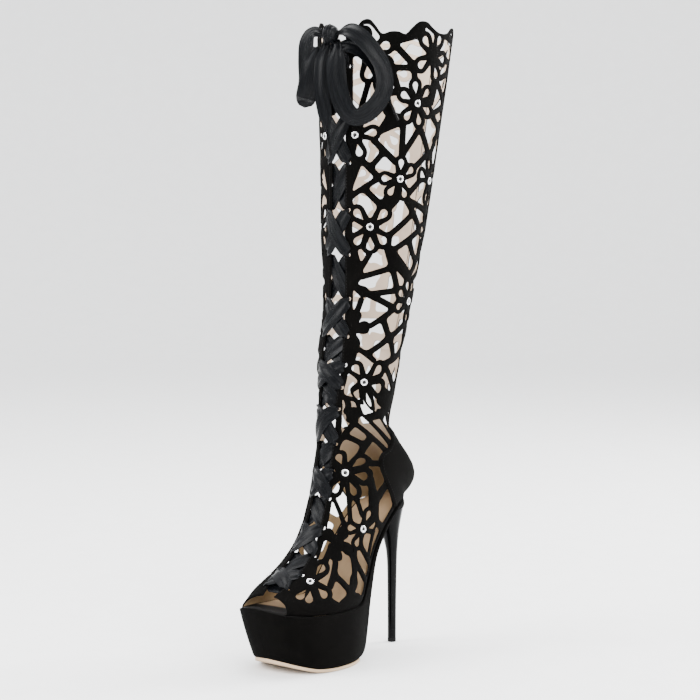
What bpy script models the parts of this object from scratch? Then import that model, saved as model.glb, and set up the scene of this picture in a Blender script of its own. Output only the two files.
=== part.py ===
"""Peep-toe knee-high boot, left foot.

A high platform and stiletto carry an open-work leather shaft. The shaft is cut out in flowers and bars,
laced down its open front with a flat ribbon, tied in a bow at the collar and closed by a zip at the back.
Tables are in millimetres. The toe points to -Y, the outer (lateral) side to +X, up is +Z, and the origin
is the middle of the forefoot's flat spot on the floor.
"""

import math
from collections import namedtuple

import bmesh
import bpy
import numpy as np
from mathutils import Vector
from mathutils.geometry import delaunay_2d_cdt

MM = 0.001

# ---------------------------------------------------------------- driving sizes, millimetres and degrees
WALL = 1.6              # leather and lining together
CLEAR = 0.3             # between pieces that meet
STROKE = 6.0            # width of a cut-out bar
LEAST_OPENING = 34.0    # openings with less area than this stay solid
MOST_OPENING = 470.0    # openings with more area than this get a bar across
BRACE_ROUNDS = 3
LEAST_SLOTTED = 22.0    # reach from which a flower's petals are slotted
OUTSOLE = 3.0
INSOLE = 2.2
INSOLE_INSET = 7.8      # from the sole's edge to the insole's, clear of the upper
RIBBON = 11.0           # width of a crossing, slightly gathered
RIBBON_THICK = 0.9
LACE_GAP = 3.2          # from the leather to the crossings
COUNTER_WALL = 1.4
COUNTER_GAP = 1.35      # from the upper to the counter, clear of the facets of both
COUNTER_LIFT = 3.6      # height of the counter's lower edge above the sole
TOE_CURVE = 3.0         # how far the toe turns in
TOE_CURVE_FROM = 10.0
TOE_CURVE_LENGTH = 90.0
THROAT_BAND = 8.0
BACK_BAND = 8.5
PEEP_BAND = 9.0
COLLAR_BAND = 4.6
SLIT_HALF = 2.6         # half the slot that the zip fills
ZIP_FOOT = 316.0        # height along the chart where the zip starts
EYELET = 4.0

# ---------------------------------------------------------------- the last: one row for each fan section
# front: the ridge under the lacing. back: the sole's edge line, then the back seam.
# edge_half: half width where the section meets the sole, 0 where it closes at the back.
# half: greatest half width. widest: where that lies between front and back. gap: half the open throat.
Section = namedtuple("Section", "name front_y front_z back_y back_z edge_half half widest gap")
UPPER = (
    Section("peep", -64, 72, -70, 57.4, 27, 28, 0.80, 5),
    Section("toe", -50, 83, -50, 55, 37, 38.5, 0.80, 8),
    Section("vamp", -35, 93, -26, 54, 42, 43, 0.78, 10),
    Section("ball", -21, 106, -2, 54, 41, 43, 0.76, 11),
    Section("instep", -9, 125, 22, 57, 36, 39, 0.72, 12),
    Section("waist", 0, 148, 37, 76, 31, 35, 0.68, 12),
    Section("arch", 6, 170, 50, 100, 28, 33, 0.64, 12),
    Section("shank", 9, 190, 66, 121, 27, 32.5, 0.60, 13),
    Section("seat_front", 10.5, 206, 88, 140, 25, 32, 0.57, 15),
    Section("seat", 11, 219, 104, 144, 18, 32.5, 0.54, 17),
    Section("seat_back", 11.5, 229, 113, 145.8, 8, 33, 0.52, 18),
    Section("heel_low", 12, 238, 125.5, 151.5, 0, 33, 0.51, 18),
    Section("heel", 13, 247, 130.5, 163, 0, 32.5, 0.50, 17.5),
    Section("heel_top", 14, 256, 111, 184, 0, 30.8, 0.50, 17),
    Section("tendon", 15.5, 266, 91.5, 209, 0, 31, 0.50, 16),
    Section("ankle", 18, 280, 96, 245, 0, 35.5, 0.50, 14.5),
    Section("above_ankle", 22, 300, 104, 285, 0, 38.5, 0.50, 12.5),
    Section("shin", 27, 328, 116, 322, 0, 40, 0.50, 11),
    Section("low_calf", 29, 362, 125, 360, 0, 43, 0.50, 10),
    Section("calf", 28.5, 400, 134.6, 400, 0, 47.4, 0.50, 9.5),
    Section("mid_calf", 30, 450, 144.5, 450, 0, 51.5, 0.50, 9.5),
    Section("high_calf", 30, 500, 153.7, 500, 0, 55.3, 0.50, 9.5),
    Section("top_calf", 30, 550, 163, 550, 0, 59.3, 0.50, 9.5),
    Section("collar", 30.5, 602, 172, 602, 0, 63, 0.50, 9.5),
)

# ---------------------------------------------------------------- platform, waist and heel seat in one
# top: the line that carries the upper. low: the underside, down the toe, along the floor, up the arch.
Slice = namedtuple("Slice", "name top_y top_z top_half low_y low_z low_half")
SOLE = (
    Slice("tip", -79.5, 61.0, 9, -63.5, 12.5, 8),
    Slice("tip_round", -77.5, 59.6, 19, -61.5, 11.6, 17),
    Slice("toe_cap", -72.5, 57.4, 28, -56.5, 9.6, 25.5),
    Slice("toe", -63, 55.6, 35.5, -48, 6.8, 32.5),
    Slice("vamp", -48, 54.4, 41, -37, 4.2, 38.5),
    Slice("joint", -26, 53.5, 44.5, -22, 3.3, 42.5),
    Slice("ball", -2, 53.5, 44, -6, 3.3, 43),
    Slice("tread", 12, 54.1, 41.5, 10, 3.3, 40),
    Slice("instep", 22, 56.2, 38.5, 24, 3.3, 34),
    Slice("block_end", 29, 62.5, 36, 34, 4.5, 29),
    Slice("breast", 33.5, 69.6, 34.5, 39, 11, 27.5),
    Slice("breast_top", 37, 75.5, 33.5, 41.5, 32, 28.5),
    Slice("waist", 41.5, 84, 32, 45, 58, 29),
    Slice("arch", 50, 99.5, 30, 55, 93, 27.5),
    Slice("shank", 66, 120.5, 28.8, 68, 114, 26.5),
    Slice("seat_front", 88, 139, 27.3, 87, 133.6, 24.5),
    Slice("seat", 104, 143.4, 20.5, 103, 134, 20),
    Slice("seat_back", 112.5, 145.2, 11.5, 111, 134, 11.5),
    Slice("seat_end", 116, 146.2, 4.5, 115, 134, 4.5),
)
OUTSOLE_SLICES = slice(0, 10)
INSOLE_SLICES = slice(0, 18)

# ---------------------------------------------------------------- heel: one row for each level
Level = namedtuple("Level", "z mid_y half_y half_x")
HEEL = (
    Level(4.3, 111, 4.1, 4.1),
    Level(40, 111, 4.3, 4.3),
    Level(80, 111, 4.9, 5.0),
    Level(98, 109.8, 6.2, 6.8),
    Level(112, 107.2, 8.8, 10.0),
    Level(124, 104.6, 11.6, 14.0),
    Level(133.3, 102.8, 13.6, 17.5),
)
HEEL_TIP_HEIGHT = 4.0

# ---------------------------------------------------------------- cut-out pattern, the same on both sides
# around: 0 at the lacing, 1 at the back seam. up: along the side from the peep edge.
# petals: their directions, 0 toward the back, 90 up. stud: whether a domed ring sits in the middle.
Flower = namedtuple("Flower", "name around up reach petals stud")
FLOWERS = (
    Flower("toe", 0.36, 35, 27, (103, 11, -38, -66, -95, -124, -157), True),
    Flower("ball", 0.74, 66, 20, (35, 110, -70), False),
    Flower("joint", 0.36, 84, 18, (70, 0, -70, 150), False),
    Flower("waist", 0.62, 123, 22, (76, 20, -102, -169), True),
    Flower("instep", 0.31, 149, 25, (55, 8, -48, -112, 125, 172), True),
    Flower("side", 0.19, 210, 15, (70, 0, -50), False),
    Flower("tendon", 0.62, 259, 20, (141, 80, -150, 20), False),
    Flower("ankle", 0.33, 266, 25, (136, 48, -5, -62, -118), True),
    Flower("zip_low", 0.84, 306, 21, (100, 165, -120, -50), False),
    Flower("shin", 0.14, 324, 19, (80, 20, -60), False),
    Flower("calf_back", 0.60, 355, 23, (156, 110, -156, -75, 25), True),
    Flower("shin_edge", 0.13, 369, 17, (75, -20), False),
    Flower("zip_calf", 0.88, 382, 20, (85, 165, -110), False),
    Flower("calf", 0.22, 426, 26, (143, 52, -37, -80, -124), True),
    Flower("calf_rear", 0.72, 422, 23, (60, 125, 178, -120, -55), False),
    Flower("mid", 0.37, 471, 22, (91, 40, -60, -175, -120), True),
    Flower("mid_rear", 0.61, 470, 23, (163, 100, 40, -20, -90), True),
    Flower("zip_mid", 0.88, 459, 20, (100, 165, -110), False),
    Flower("edge_high", 0.11, 512, 24, (85, 14, -70), True),
    Flower("bow_side", 0.24, 545, 17, (110, -140, -50), False),
    Flower("high", 0.43, 542, 24, (160, 105, 45, -18, -72, -125), True),
    Flower("zip_high", 0.78, 524, 25, (75, 20, 130, -170, -115, -50), False),
    Flower("collar_front", 0.16, 587, 27, (108, 31, -22, -80, 165), False),
    Flower("collar_side", 0.50, 587, 26, (134, 65, 0, -63, -145), False),
    Flower("collar_back", 0.78, 581, 25, (115, 55, -10, -75, -160), False),
)
# The collar's scalloped edge.
Scallop = namedtuple("Scallop", "around up")
COLLAR = (
    Scallop(0.0, 604), Scallop(0.08, 605), Scallop(0.105, 612), Scallop(0.13, 618), Scallop(0.165, 619),
    Scallop(0.195, 613), Scallop(0.225, 606), Scallop(0.265, 608), Scallop(0.30, 608), Scallop(0.335, 606),
    Scallop(0.365, 612), Scallop(0.40, 618), Scallop(0.44, 618), Scallop(0.48, 613), Scallop(0.53, 609),
    Scallop(0.60, 610), Scallop(0.64, 615), Scallop(0.68, 616), Scallop(0.73, 610), Scallop(0.78, 609),
    Scallop(0.83, 615), Scallop(0.87, 615), Scallop(0.92, 610), Scallop(1.0, 608),
)
# Width of the solid band along the sole, from the peep edge up: broad round the toes.
Band = namedtuple("Band", "up width")
SOLE_BAND = (Band(0, 17), Band(35, 16), Band(75, 10), Band(110, 7), Band(150, 6))
# Front and top edge of the heel counter, from the back seam round to the sole.
COUNTER = (
    Scallop(1.0, 259), Scallop(0.86, 256), Scallop(0.74, 250), Scallop(0.62, 239), Scallop(0.54, 227),
    Scallop(0.49, 213), Scallop(0.475, 198), Scallop(0.50, 187), Scallop(0.58, 178), Scallop(0.70, 172),
    Scallop(0.85, 168), Scallop(1.0, 166),
)

# ---------------------------------------------------------------- lacing: eyelet levels along the chart
EYELETS = (14, 36, 60, 86, 114, 142, 172, 207, 243, 279, 316, 356, 399, 442, 486, 531, 576)


# ================================================================ curves and surfaces, in millimetres
def through(rows, place):
    """Smooth rows of numbers at fractional row number `place` (Catmull-Rom)."""
    rows = np.asarray(rows, float)
    last = len(rows) - 1
    place = np.clip(np.asarray(place, float), 0, last - 1e-9)
    index = place.astype(int)
    f = (place - index)[..., None]
    a, b = rows[index], rows[index + 1]
    before = np.where((index > 0)[..., None], rows[np.maximum(index - 1, 0)], 2 * a - b)
    after = np.where((index < last - 1)[..., None], rows[np.minimum(index + 2, last)], 2 * b - a)
    slope_a, slope_b = (b - before) / 2, (after - a) / 2
    return (
        (2 * f**3 - 3 * f**2 + 1) * a
        + (f**3 - 2 * f**2 + f) * slope_a
        + (3 * f**2 - 2 * f**3) * b
        + (f**3 - f**2) * slope_b
    )


def toe_curve(y):
    """Sideways shift of the centre line: the toe of a left boot turns toward the inner side."""
    return -TOE_CURVE * np.clip((TOE_CURVE_FROM - y) / TOE_CURVE_LENGTH, 0, 1) ** 2


UPPER_ROWS = np.array([row[1:] for row in UPPER], float)
LAST_ROW = len(UPPER) - 1


def fan_point(row, around):
    """Outer face of the upper: `around` runs from the ridge (0) to the sole edge or back seam (1)."""
    fy, fz, by, bz, edge, half, widest, _ = np.moveaxis(through(UPPER_ROWS, row), -1, 0)
    edge = np.clip(edge, 0, half * 0.999)
    end = math.pi - np.arcsin(edge / half)
    angle = around * end

    def along(turn):
        rest = np.where(turn < math.pi / 2, widest, 1 - widest)
        return widest - rest * np.cos(turn)

    share = along(angle) / along(end)
    return np.stack([half * np.sin(angle), fy + (by - fy) * share, fz + (bz - fz) * share], -1)


def measure_chart():
    """Height along the side and half girth for each row: the flat chart that the pattern is drawn on."""
    rows = np.linspace(0, LAST_ROW, 1501)
    middle = fan_point(rows, np.full(rows.shape, 0.5))
    up = np.r_[0, np.cumsum(np.linalg.norm(np.diff(middle, axis=0), axis=1))]
    around = np.linspace(0, 1, 61)
    across = fan_point(rows[:, None] + 0 * around, around + 0 * rows[:, None])
    girth = np.linalg.norm(np.diff(across, axis=1), axis=2).sum(1)
    gap = through(UPPER_ROWS, rows)[:, 7]
    return rows, up, girth, gap


CHART_ROWS, CHART_UP, CHART_GIRTH, CHART_GAP = measure_chart()
TOP = CHART_UP[-1]


def half_girth(up):
    return np.interp(up, CHART_UP, CHART_GIRTH)


def throat_gap(up):
    return np.interp(up, CHART_UP, CHART_GAP)


def chart(around, up):
    """Chart place of a point given by its share of the way round: x from mid-side, y up the boot."""
    return np.array([(around - 0.5) * half_girth(up), up])


def skin(places, side, out):
    """Points at chart places, `out` mm outside the outer face (negative is inside)."""
    x, up = np.moveaxis(np.asarray(places, float), -1, 0)
    row = np.interp(up, CHART_UP, CHART_ROWS)
    around = x / half_girth(up) + 0.5
    step = 2e-3
    point = fan_point(row, around)
    turn = fan_point(row, around + step) - fan_point(row, around - step)
    rise = fan_point(row + step, around) - fan_point(row - step, around)
    normal = np.cross(turn, rise)
    normal /= np.linalg.norm(normal, axis=-1, keepdims=True)
    point = point + normal * np.asarray(out, float)[..., None]
    point[..., 0] = point[..., 0] * side + toe_curve(point[..., 1])
    return point


def local_frame(place):
    """Chart steps for one millimetre toward the back and one millimetre up, at this place."""
    place = np.asarray(place, float)
    step = 0.5
    dx = (skin(place + [step, 0], 1, 0) - skin(place - [step, 0], 1, 0)) / (2 * step)
    dy = (skin(place + [0, step], 1, 0) - skin(place - [0, step], 1, 0)) / (2 * step)
    rise = dy / np.linalg.norm(dy)
    back = dx - rise * (dx @ rise)
    back /= np.linalg.norm(back)
    to_mm = np.array([[dx @ back, dy @ back], [dx @ rise, dy @ rise]])
    return np.linalg.inv(to_mm).T


# ================================================================ flat cutting
def anticlockwise(outline):
    outline = np.array(outline, float)
    x, y = outline.T
    return outline if x @ np.roll(y, -1) - y @ np.roll(x, -1) > 0 else outline[::-1]


def cut(solids, holes, extra=()):
    """Triangles of the joined solid outlines less the hole outlines, in the plane."""
    points, faces = [], []
    for outline in list(solids) + list(holes):
        faces.append(list(range(len(points), len(points) + len(outline))))
        points.extend(Vector((float(x), float(y))) for x, y in anticlockwise(outline))
    points.extend(Vector((float(x), float(y))) for x, y in extra)
    flat, _, triangles, _, _, sources = delaunay_2d_cdt(points, [], faces, 0, 1e-3, True)
    flat = np.array([tuple(p) for p in flat])
    solid = [bool(s) and max(s) < len(solids) for s in sources]
    holed = [bool(s) and max(s) >= len(solids) for s in sources]
    triangles = np.array([list(t) for t in triangles])
    keep = fill_specks(flat, triangles, np.array(solid), np.array(holed))
    return flat, triangles[keep]


def drop_slivers(flat, triangles):
    """The cut sheet less the thin triangles along its edges, which would bridge the boot's curve."""
    longest, thinnest = 12.0, 0.8
    triangles = orient(flat, triangles)
    directed = {(t[i], t[(i + 1) % 3]) for t in triangles for i in range(3)}
    keep = []
    for t in triangles:
        sides = [np.linalg.norm(flat[t[(i + 1) % 3]] - flat[t[i]]) for i in range(3)]
        open_sides = [(t[(i + 1) % 3], t[i]) not in directed for i in range(3)]
        i = int(np.argmax(sides))
        height = loop_area(flat[t]) * 2 / sides[i]
        keep.append(sum(open_sides) != 1 or not open_sides[i] or sides[i] < longest or height > thinnest)
    return flat, triangles[keep]


def fill_specks(flat, triangles, solid, holed):
    """Openings between bars that are too small to cut are left solid."""
    edge_of = {}
    for number, (a, b, c) in enumerate(triangles):
        for edge in ((a, b), (b, c), (c, a)):
            edge_of.setdefault(tuple(sorted(edge)), []).append(number)
    neighbours = [[] for _ in triangles]
    for pair in edge_of.values():
        if len(pair) == 2:
            neighbours[pair[0]].append(pair[1])
            neighbours[pair[1]].append(pair[0])
    corners = flat[triangles]
    area = np.abs(np.cross(corners[:, 1] - corners[:, 0], corners[:, 2] - corners[:, 0])) / 2
    seen = solid.copy()
    for start in range(len(triangles)):
        if seen[start]:
            continue
        group, queue = [], [start]
        seen[start] = True
        while queue:
            here = queue.pop()
            group.append(here)
            for other in neighbours[here]:
                if not seen[other]:
                    seen[other] = True
                    queue.append(other)
        if area[group].sum() < LEAST_OPENING and not holed[group].any():
            solid[group] = True
    return solid


def loops_of(triangles):
    """Boundary loops of a set of triangles, as lists of point numbers."""
    directed = {(t[i], t[(i + 1) % 3]) for t in triangles for i in range(3)}
    follow = {a: b for a, b in sorted(directed) if (b, a) not in directed}
    loops = []
    while follow:
        start, here = follow.popitem()
        loop = [start]
        while here != start:
            loop.append(here)
            here = follow.pop(here)
        loops.append(loop)
    return loops


def thin_out(outline, slack):
    """The outline with points dropped that lie within `slack` of the straight line between the rest."""
    start = int(np.argmax(outline[:, 0] + outline[:, 1]))
    outline = np.roll(outline, -start, axis=0)
    closed = np.vstack([outline, outline[:1]])

    def split(first, last):
        line = closed[last] - closed[first]
        length = np.linalg.norm(line)
        rest = closed[first + 1 : last] - closed[first]
        if not len(rest):
            return []
        away = np.abs(np.cross(line, rest)) / length if length > 0 else np.linalg.norm(rest, axis=1)
        far = int(np.argmax(away))
        if away[far] < slack:
            return []
        middle = first + 1 + far
        return split(first, middle) + [middle] + split(middle, last)

    middle = int(np.argmax(np.linalg.norm(closed - closed[0], axis=1)))
    keep = [0] + split(0, middle) + [middle] + split(middle, len(closed) - 1)
    return closed[keep]


def loop_area(outline):
    """Area inside a closed outline, negative where it runs clockwise, as around an opening."""
    x, y = outline.T
    return (x @ np.roll(y, -1) - y @ np.roll(x, -1)) / 2


def recut(flat, triangles, slack, border_slack, extra):
    """The same flat shape with few points: its outlines thinned out and filled again."""
    loops = [flat[loop] for loop in loops_of(orient(flat, triangles))]
    fine = [max(loops, key=len)] + [loop for loop in loops if meets_counter(loop)]
    loops = [thin_out(loop, border_slack if any(loop is f for f in fine) else slack) for loop in loops]
    solids = [loop for loop in loops if loop_area(loop) > 0]
    holes = [loop for loop in loops if loop_area(loop) < 0]
    return drop_slivers(*cut([max(solids, key=loop_area)], holes, extra))


def braces(flat, triangles):
    """A bar across each opening that is too large, where it is short and halves the opening best."""
    bars = []
    for loop in loops_of(orient(flat, triangles)):
        outline = flat[loop]
        area = -loop_area(outline)
        if area < MOST_OPENING:
            continue
        outline = thin_out(outline, 0.8)
        edges = list(zip(outline, np.roll(outline, -1, axis=0)))
        places = [p + (q - p) * share for p, q in edges for share in (0.0, 0.5)]
        best, least = None, np.inf
        for i, start in enumerate(places):
            for j in range(i + 2, len(places)):
                end = places[j]
                part = abs(loop_area(np.array(places[i : j + 1])))
                length = np.linalg.norm(end - start)
                score = length**2 / max(min(part, area - part), 1)
                near, far = start + (end - start) * 0.02, end + (start - end) * 0.02
                if score > least or min(part, area - part) < area / 4:
                    continue
                middle = (start + end) / 2
                if not any(crosses(near, far, p, q) for p, q in edges) and inside(edges, middle):
                    best, least = (start, end), score
        if best is not None:
            along = (best[1] - best[0]) / np.linalg.norm(best[1] - best[0])
            bars.append(bar(best[0] - along * STROKE / 2, best[1] + along * STROKE / 2))
    return bars


def inside(edges, place):
    """Whether a place lies within closed edges."""
    hits = [p[0] + (q[0] - p[0]) * (place[1] - p[1]) / (q[1] - p[1]) > place[0]
            for p, q in edges if (p[1] > place[1]) != (q[1] > place[1])]
    return sum(hits) % 2 == 1


def meets_counter(loop):
    """Whether an opening ends at the heel counter's edge, where the leather has to keep its true curve."""
    return any(np.linalg.norm(loop - place, axis=1).min() < 1 for place in counter_front())


def orient(flat, triangles):
    corners = flat[triangles]
    turn = np.cross(corners[:, 1] - corners[:, 0], corners[:, 2] - corners[:, 0])
    triangles = triangles[np.abs(turn) > 1e-9]
    turn = turn[np.abs(turn) > 1e-9]
    return np.where((turn < 0)[:, None], triangles[:, ::-1], triangles)


def raise_sheet(flat, triangles, place, outer, inner, seam=None):
    """Vertices and faces of the cut sheet between two offsets. Edges on the seam stay open for the twin."""
    triangles = orient(flat, triangles)
    used, packed = np.unique(triangles, return_inverse=True)
    triangles = packed.reshape(-1, 3)
    flat = flat[used]
    on_seam = seam(flat) if seam else np.zeros(len(flat), bool)
    triangles = triangles[~on_seam[triangles].all(axis=1)]
    count = len(flat)
    outer_points = place(flat, np.full(count, outer))
    inner_points = place(flat, np.full(count, inner))
    if seam:
        outer_points[on_seam, 0] = toe_curve(outer_points[on_seam, 1])
        inner_points[on_seam, 0] = toe_curve(inner_points[on_seam, 1])
    faces = [tuple(t) for t in triangles] + [tuple(t[::-1] + count) for t in triangles]
    directed = {(t[i], t[(i + 1) % 3]) for t in triangles for i in range(3)}
    for a, b in sorted(directed):
        if (b, a) in directed or (on_seam[a] and on_seam[b]):
            continue
        faces += [(b, a, a + count), (b, a + count, b + count)]
    return np.vstack([outer_points, inner_points]), faces


# ================================================================ the cut-out pattern
def petal_outline(reach):
    half = ((0.0, 0.14), (0.40, 0.24), (0.72, 0.34), (0.94, 0.24), (1.0, 0.0))
    return [(reach * r, reach * h) for r, h in half] + [(reach * r, -reach * h) for r, h in half[-2::-1]]


def petal_hole(reach):
    """A slot that widens toward the petal's tip."""
    return [(reach * 0.36, 0.0), (reach * 0.80, -reach * 0.14), (reach * 0.80, reach * 0.14)]


def placed(outline, centre, steps, degrees):
    """Outline turned by `degrees` and laid on the chart so that it keeps its true shape on the boot."""
    turn = math.radians(degrees)
    turned = np.array(outline) @ np.array(
        [[math.cos(turn), math.sin(turn)], [-math.sin(turn), math.cos(turn)]]
    )
    return centre + turned @ steps


def flower_outlines():
    """Petal outlines, petal holes, and the tip and direction of every petal."""
    solids, holes, tips = [], [], []
    for number, flower in enumerate(FLOWERS):
        centre = chart(flower.around, flower.up)
        steps = local_frame(centre)
        disc = [(math.cos(a), math.sin(a)) for a in np.arange(6) * math.pi / 3]
        solids.append(placed(np.array(disc) * flower.reach * 0.3, centre, steps, 0))
        for degrees in flower.petals:
            solids.append(placed(petal_outline(flower.reach), centre, steps, degrees))
            slot = placed(petal_hole(flower.reach), centre, steps, degrees)
            if flower.reach >= LEAST_SLOTTED and not any(outside(corner) for corner in slot):
                holes.append(slot)
            tip = placed([(flower.reach * 0.95, 0)], centre, steps, degrees)[0]
            tips.append((number, tip, (tip - centre) / np.linalg.norm(tip - centre)))
    return solids, holes, tips


def crosses(a, b, c, d):
    """Whether segments ab and cd cross between their ends."""

    def turn(p, q, r):
        return (q[0] - p[0]) * (r[1] - p[1]) - (q[1] - p[1]) * (r[0] - p[0])

    return turn(a, b, c) * turn(a, b, d) < 0 and turn(c, d, a) * turn(c, d, b) < 0


def bar(start, end, width=STROKE):
    along = (end - start) / np.linalg.norm(end - start)
    across = np.array([-along[1], along[0]]) * width / 2
    return [start + across, end + across, end - across, start - across]


def border_places(up):
    """Chart x of the throat edge and of the back edge at a height."""
    return throat_gap(up) - half_girth(up) / 2, half_girth(up) / 2


def edge_band(up):
    """Width of the solid band at a height, along the sole and, above it, along the back seam."""
    return float(np.interp(up, *np.array(SOLE_BAND).T)) if up < chart_up("heel_low") else BACK_BAND


def web_bars(tips, petals):
    """Bars between the flowers. Tips that face each other are joined first, the nearest pairs leading.
    A tip with a free side then sends a bar out on that side until it meets leather."""
    longest, most, splay = 40.0, 2, 36.0
    walls = [(p[k], p[(k + 1) % len(p)]) for p in petals for k in range(len(p))]
    bars, degree = [], [0] * len(tips)

    def clear(start, end):
        near, far = start + (end - start) * 0.12, end + (start - end) * 0.12
        return not any(crosses(near, far, p, q) for p, q in walls + bars)

    offers = []
    for i, (flower_i, tip_i, way_i) in enumerate(tips):
        for j, (flower_j, tip_j, way_j) in enumerate(tips[:i]):
            along = tip_j - tip_i
            distance = np.linalg.norm(along)
            if flower_i == flower_j or not 1 < distance < longest:
                continue
            meet_i, meet_j = way_i @ along / distance, -(way_j @ along) / distance
            if min(meet_i, meet_j) > -0.2:
                offers.append((distance * (1.6 - 0.4 * (meet_i + meet_j)), i, j))
    for _, i, j in sorted(offers):
        if max(degree[i], degree[j]) < most and clear(tips[i][1], tips[j][1]):
            bars.append((tips[i][1], tips[j][1]))
            degree[i] += 1
            degree[j] += 1
    for i, (_, tip, way) in enumerate(tips):
        joined = [end for pair in bars for end, other in (pair, pair[::-1]) if other is tip]
        for turn in (0.0,) if not joined and degree[i] == 0 else (splay, -splay):
            c, s = math.cos(math.radians(turn)), math.sin(math.radians(turn))
            ray = np.array([way[0] * c - way[1] * s, way[0] * s + way[1] * c])
            if any(ray @ (end - tip) > 0.55 * np.linalg.norm(end - tip) for end in joined):
                continue
            end = first_leather(tip, ray, walls + bars)
            if end is not None and degree[i] < most + 1:
                bars.append((tip, end))
                degree[i] += 1
    return [bar(start, end) for start, end in bars]


def first_leather(start, ray, walls):
    """Where a ray from a petal tip first meets a border, a petal or a bar, if that is near enough."""
    nearest, farthest = 5.0, 46.0
    reach = farthest
    for p, q in walls:
        far = start + ray * reach
        if crosses(start + ray * 1.5, far, p, q):
            edge = q - p
            grid = ray[0] * edge[1] - ray[1] * edge[0]
            reach = ((p[0] - start[0]) * edge[1] - (p[1] - start[1]) * edge[0]) / grid
    for distance in np.arange(1.0, reach, 1.0):
        if outside(start + ray * distance):
            reach = distance
            break
    if reach < nearest or reach >= farthest:
        return None
    return start + ray * reach


def collar_up(around):
    return np.interp(around, *np.array(COLLAR).T)


def in_counter(around, up):
    """Whether a place lies under the heel counter."""
    if not COUNTER[-1].up < up < COUNTER[0].up:
        return False
    turn = min(COUNTER, key=lambda row: row.around)
    half = COUNTER[: COUNTER.index(turn) + 1] if up > turn.up else COUNTER[COUNTER.index(turn) :]
    rows = sorted((row.up, row.around) for row in half)
    return around > np.interp(up, *np.array(rows).T)


def outside(place):
    """Whether a chart place lies in a border band or past it."""
    x, up = place
    if up < PEEP_BAND or up > TOP - 1:
        return True
    throat, back = border_places(up)
    around = x / half_girth(up) + 0.5
    if in_counter(around, up):
        return True
    return x < throat + THROAT_BAND / 2 or x > back - edge_band(up) / 2 or up > collar_up(around) - COLLAR_BAND / 2


def chart_up(name):
    """Height along the chart of a named section."""
    row = [section.name for section in UPPER].index(name)
    return float(np.interp(row, CHART_ROWS, CHART_UP))


def levels():
    """Heights where the border bands have a point: close in the foot, wide apart up the shaft."""
    foot, ankle, top, least = 12.0, 16.0, 30.0, 4.0
    low, high = chart_up("ankle"), chart_up("low_calf")
    heights = list(np.arange(0, low, foot)) + list(np.arange(low, high, ankle))
    heights += list(np.linspace(high, TOP, round((TOP - high) / top) + 1))
    fixed = (chart_up("heel_low"), COUNTER[0].up)
    return np.array(sorted([u for u in heights if min(abs(u - v) for v in fixed) > least] + list(fixed)))


def smooth_line(rows, parts):
    """Points along a curve through chart rows, `parts` for each row."""
    places = through(np.array(rows), np.linspace(0, len(rows) - 1, (len(rows) - 1) * parts + 1))
    return [chart(around, up) for around, up in places]


def counter_front():
    """The counter's front and top edge, from the back seam round to the sole."""
    seam = chart_up("heel_low")
    edge = [chart(around, up) for around, up in through(COUNTER, np.linspace(0, len(COUNTER) - 1, 17))]
    return [(min(x, border_places(up)[1] - COUNTER_LIFT), up) if up < seam else (x, up) for x, up in edge]


def counter_outline():
    """Chart outline of the heel counter, closed along the back seam and a little above the sole."""
    seam = chart_up("heel_low")
    ups = [u for u in levels() if COUNTER[-1].up < u < COUNTER[0].up]
    return counter_front() + [(border_places(u)[1] - (COUNTER_LIFT if u < seam else 0), u) for u in ups]


def upper_outlines():
    """Everything solid and everything cut away in the flat pattern of one side."""
    ups = levels()
    throat = [(border_places(u)[0], u) for u in ups]
    back = [(border_places(u)[1], u) for u in ups]
    band_in = [(x + THROAT_BAND, u) for x, u in throat]
    back_in = [(x - edge_band(u), u) for x, u in back]
    far = 60
    solids = [throat + band_in[::-1], back_in + back[::-1]]
    solids.append([(throat[0][0], 0), (back[0][0], 0), (back[0][0], PEEP_BAND), (throat[0][0], PEEP_BAND)])
    collar = smooth_line(COLLAR, 2)
    solids.append(collar + [(x, y - COLLAR_BAND) for x, y in collar[::-1]])
    solids.append(counter_outline())
    petals, holes, tips = flower_outlines()
    solids += petals + web_bars(tips, petals)
    holes.append([(x, u) for x, u in throat] + [(-TOP, TOP), (-TOP, 0)])
    holes.append([(x, u) for x, u in back] + [(TOP, TOP), (TOP, 0)])
    holes.append([(-TOP, 0), (TOP, 0), (TOP, -far), (-TOP, -far)])
    holes.append(collar + [(TOP, collar[-1][1]), (TOP, TOP + far), (-TOP, TOP + far), (-TOP, collar[0][1])])
    slit = [u for u in ups if u > ZIP_FOOT + 1]
    edge = [(half_girth(u) / 2 - SLIT_HALF, u) for u in [ZIP_FOOT] + slit + [TOP + far]]
    holes.append(edge + [(TOP, TOP + far), (TOP, ZIP_FOOT)])
    holes += [eyelet_hole(u) for u in EYELETS]
    return solids, holes


def eyelet_place(up, band=THROAT_BAND):
    return np.array([border_places(up)[0] + band / 2, up])


def eyelet_hole(up):
    centre = eyelet_place(up)
    steps = local_frame(centre)
    corners = ((1, 0), (0, 1), (-1, 0), (0, -1))
    return placed(np.array(corners) * EYELET / 2, centre, steps, 0)


def counter_points(spacing):
    """A grid inside the counter's outline, so that wide leather keeps its curve."""
    ups = np.arange(COUNTER[-1].up + spacing, COUNTER[0].up, spacing)
    places = [(x, u) for u in ups for x in np.arange(0, border_places(u)[1] - spacing / 2, spacing)]
    return [p for p in places if in_counter(p[0] / half_girth(p[1]) + 0.5, p[1])]


def rim_points():
    """Points along the peep edge, straight in the chart, so that it keeps its arch on the boot."""
    return [(x, up) for up in (0, PEEP_BAND) for x in np.linspace(*border_places(0), 8)[1:-1]]


def on_back_seam(flat):
    """Whether flat points lie where the two sides are sewn together, under the zip."""
    x, up = flat.T
    close = np.abs(x - half_girth(up) / 2) < 0.9
    return close & (up > chart_up("heel_low") - 0.5) & (up < ZIP_FOOT + 0.5)


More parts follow.
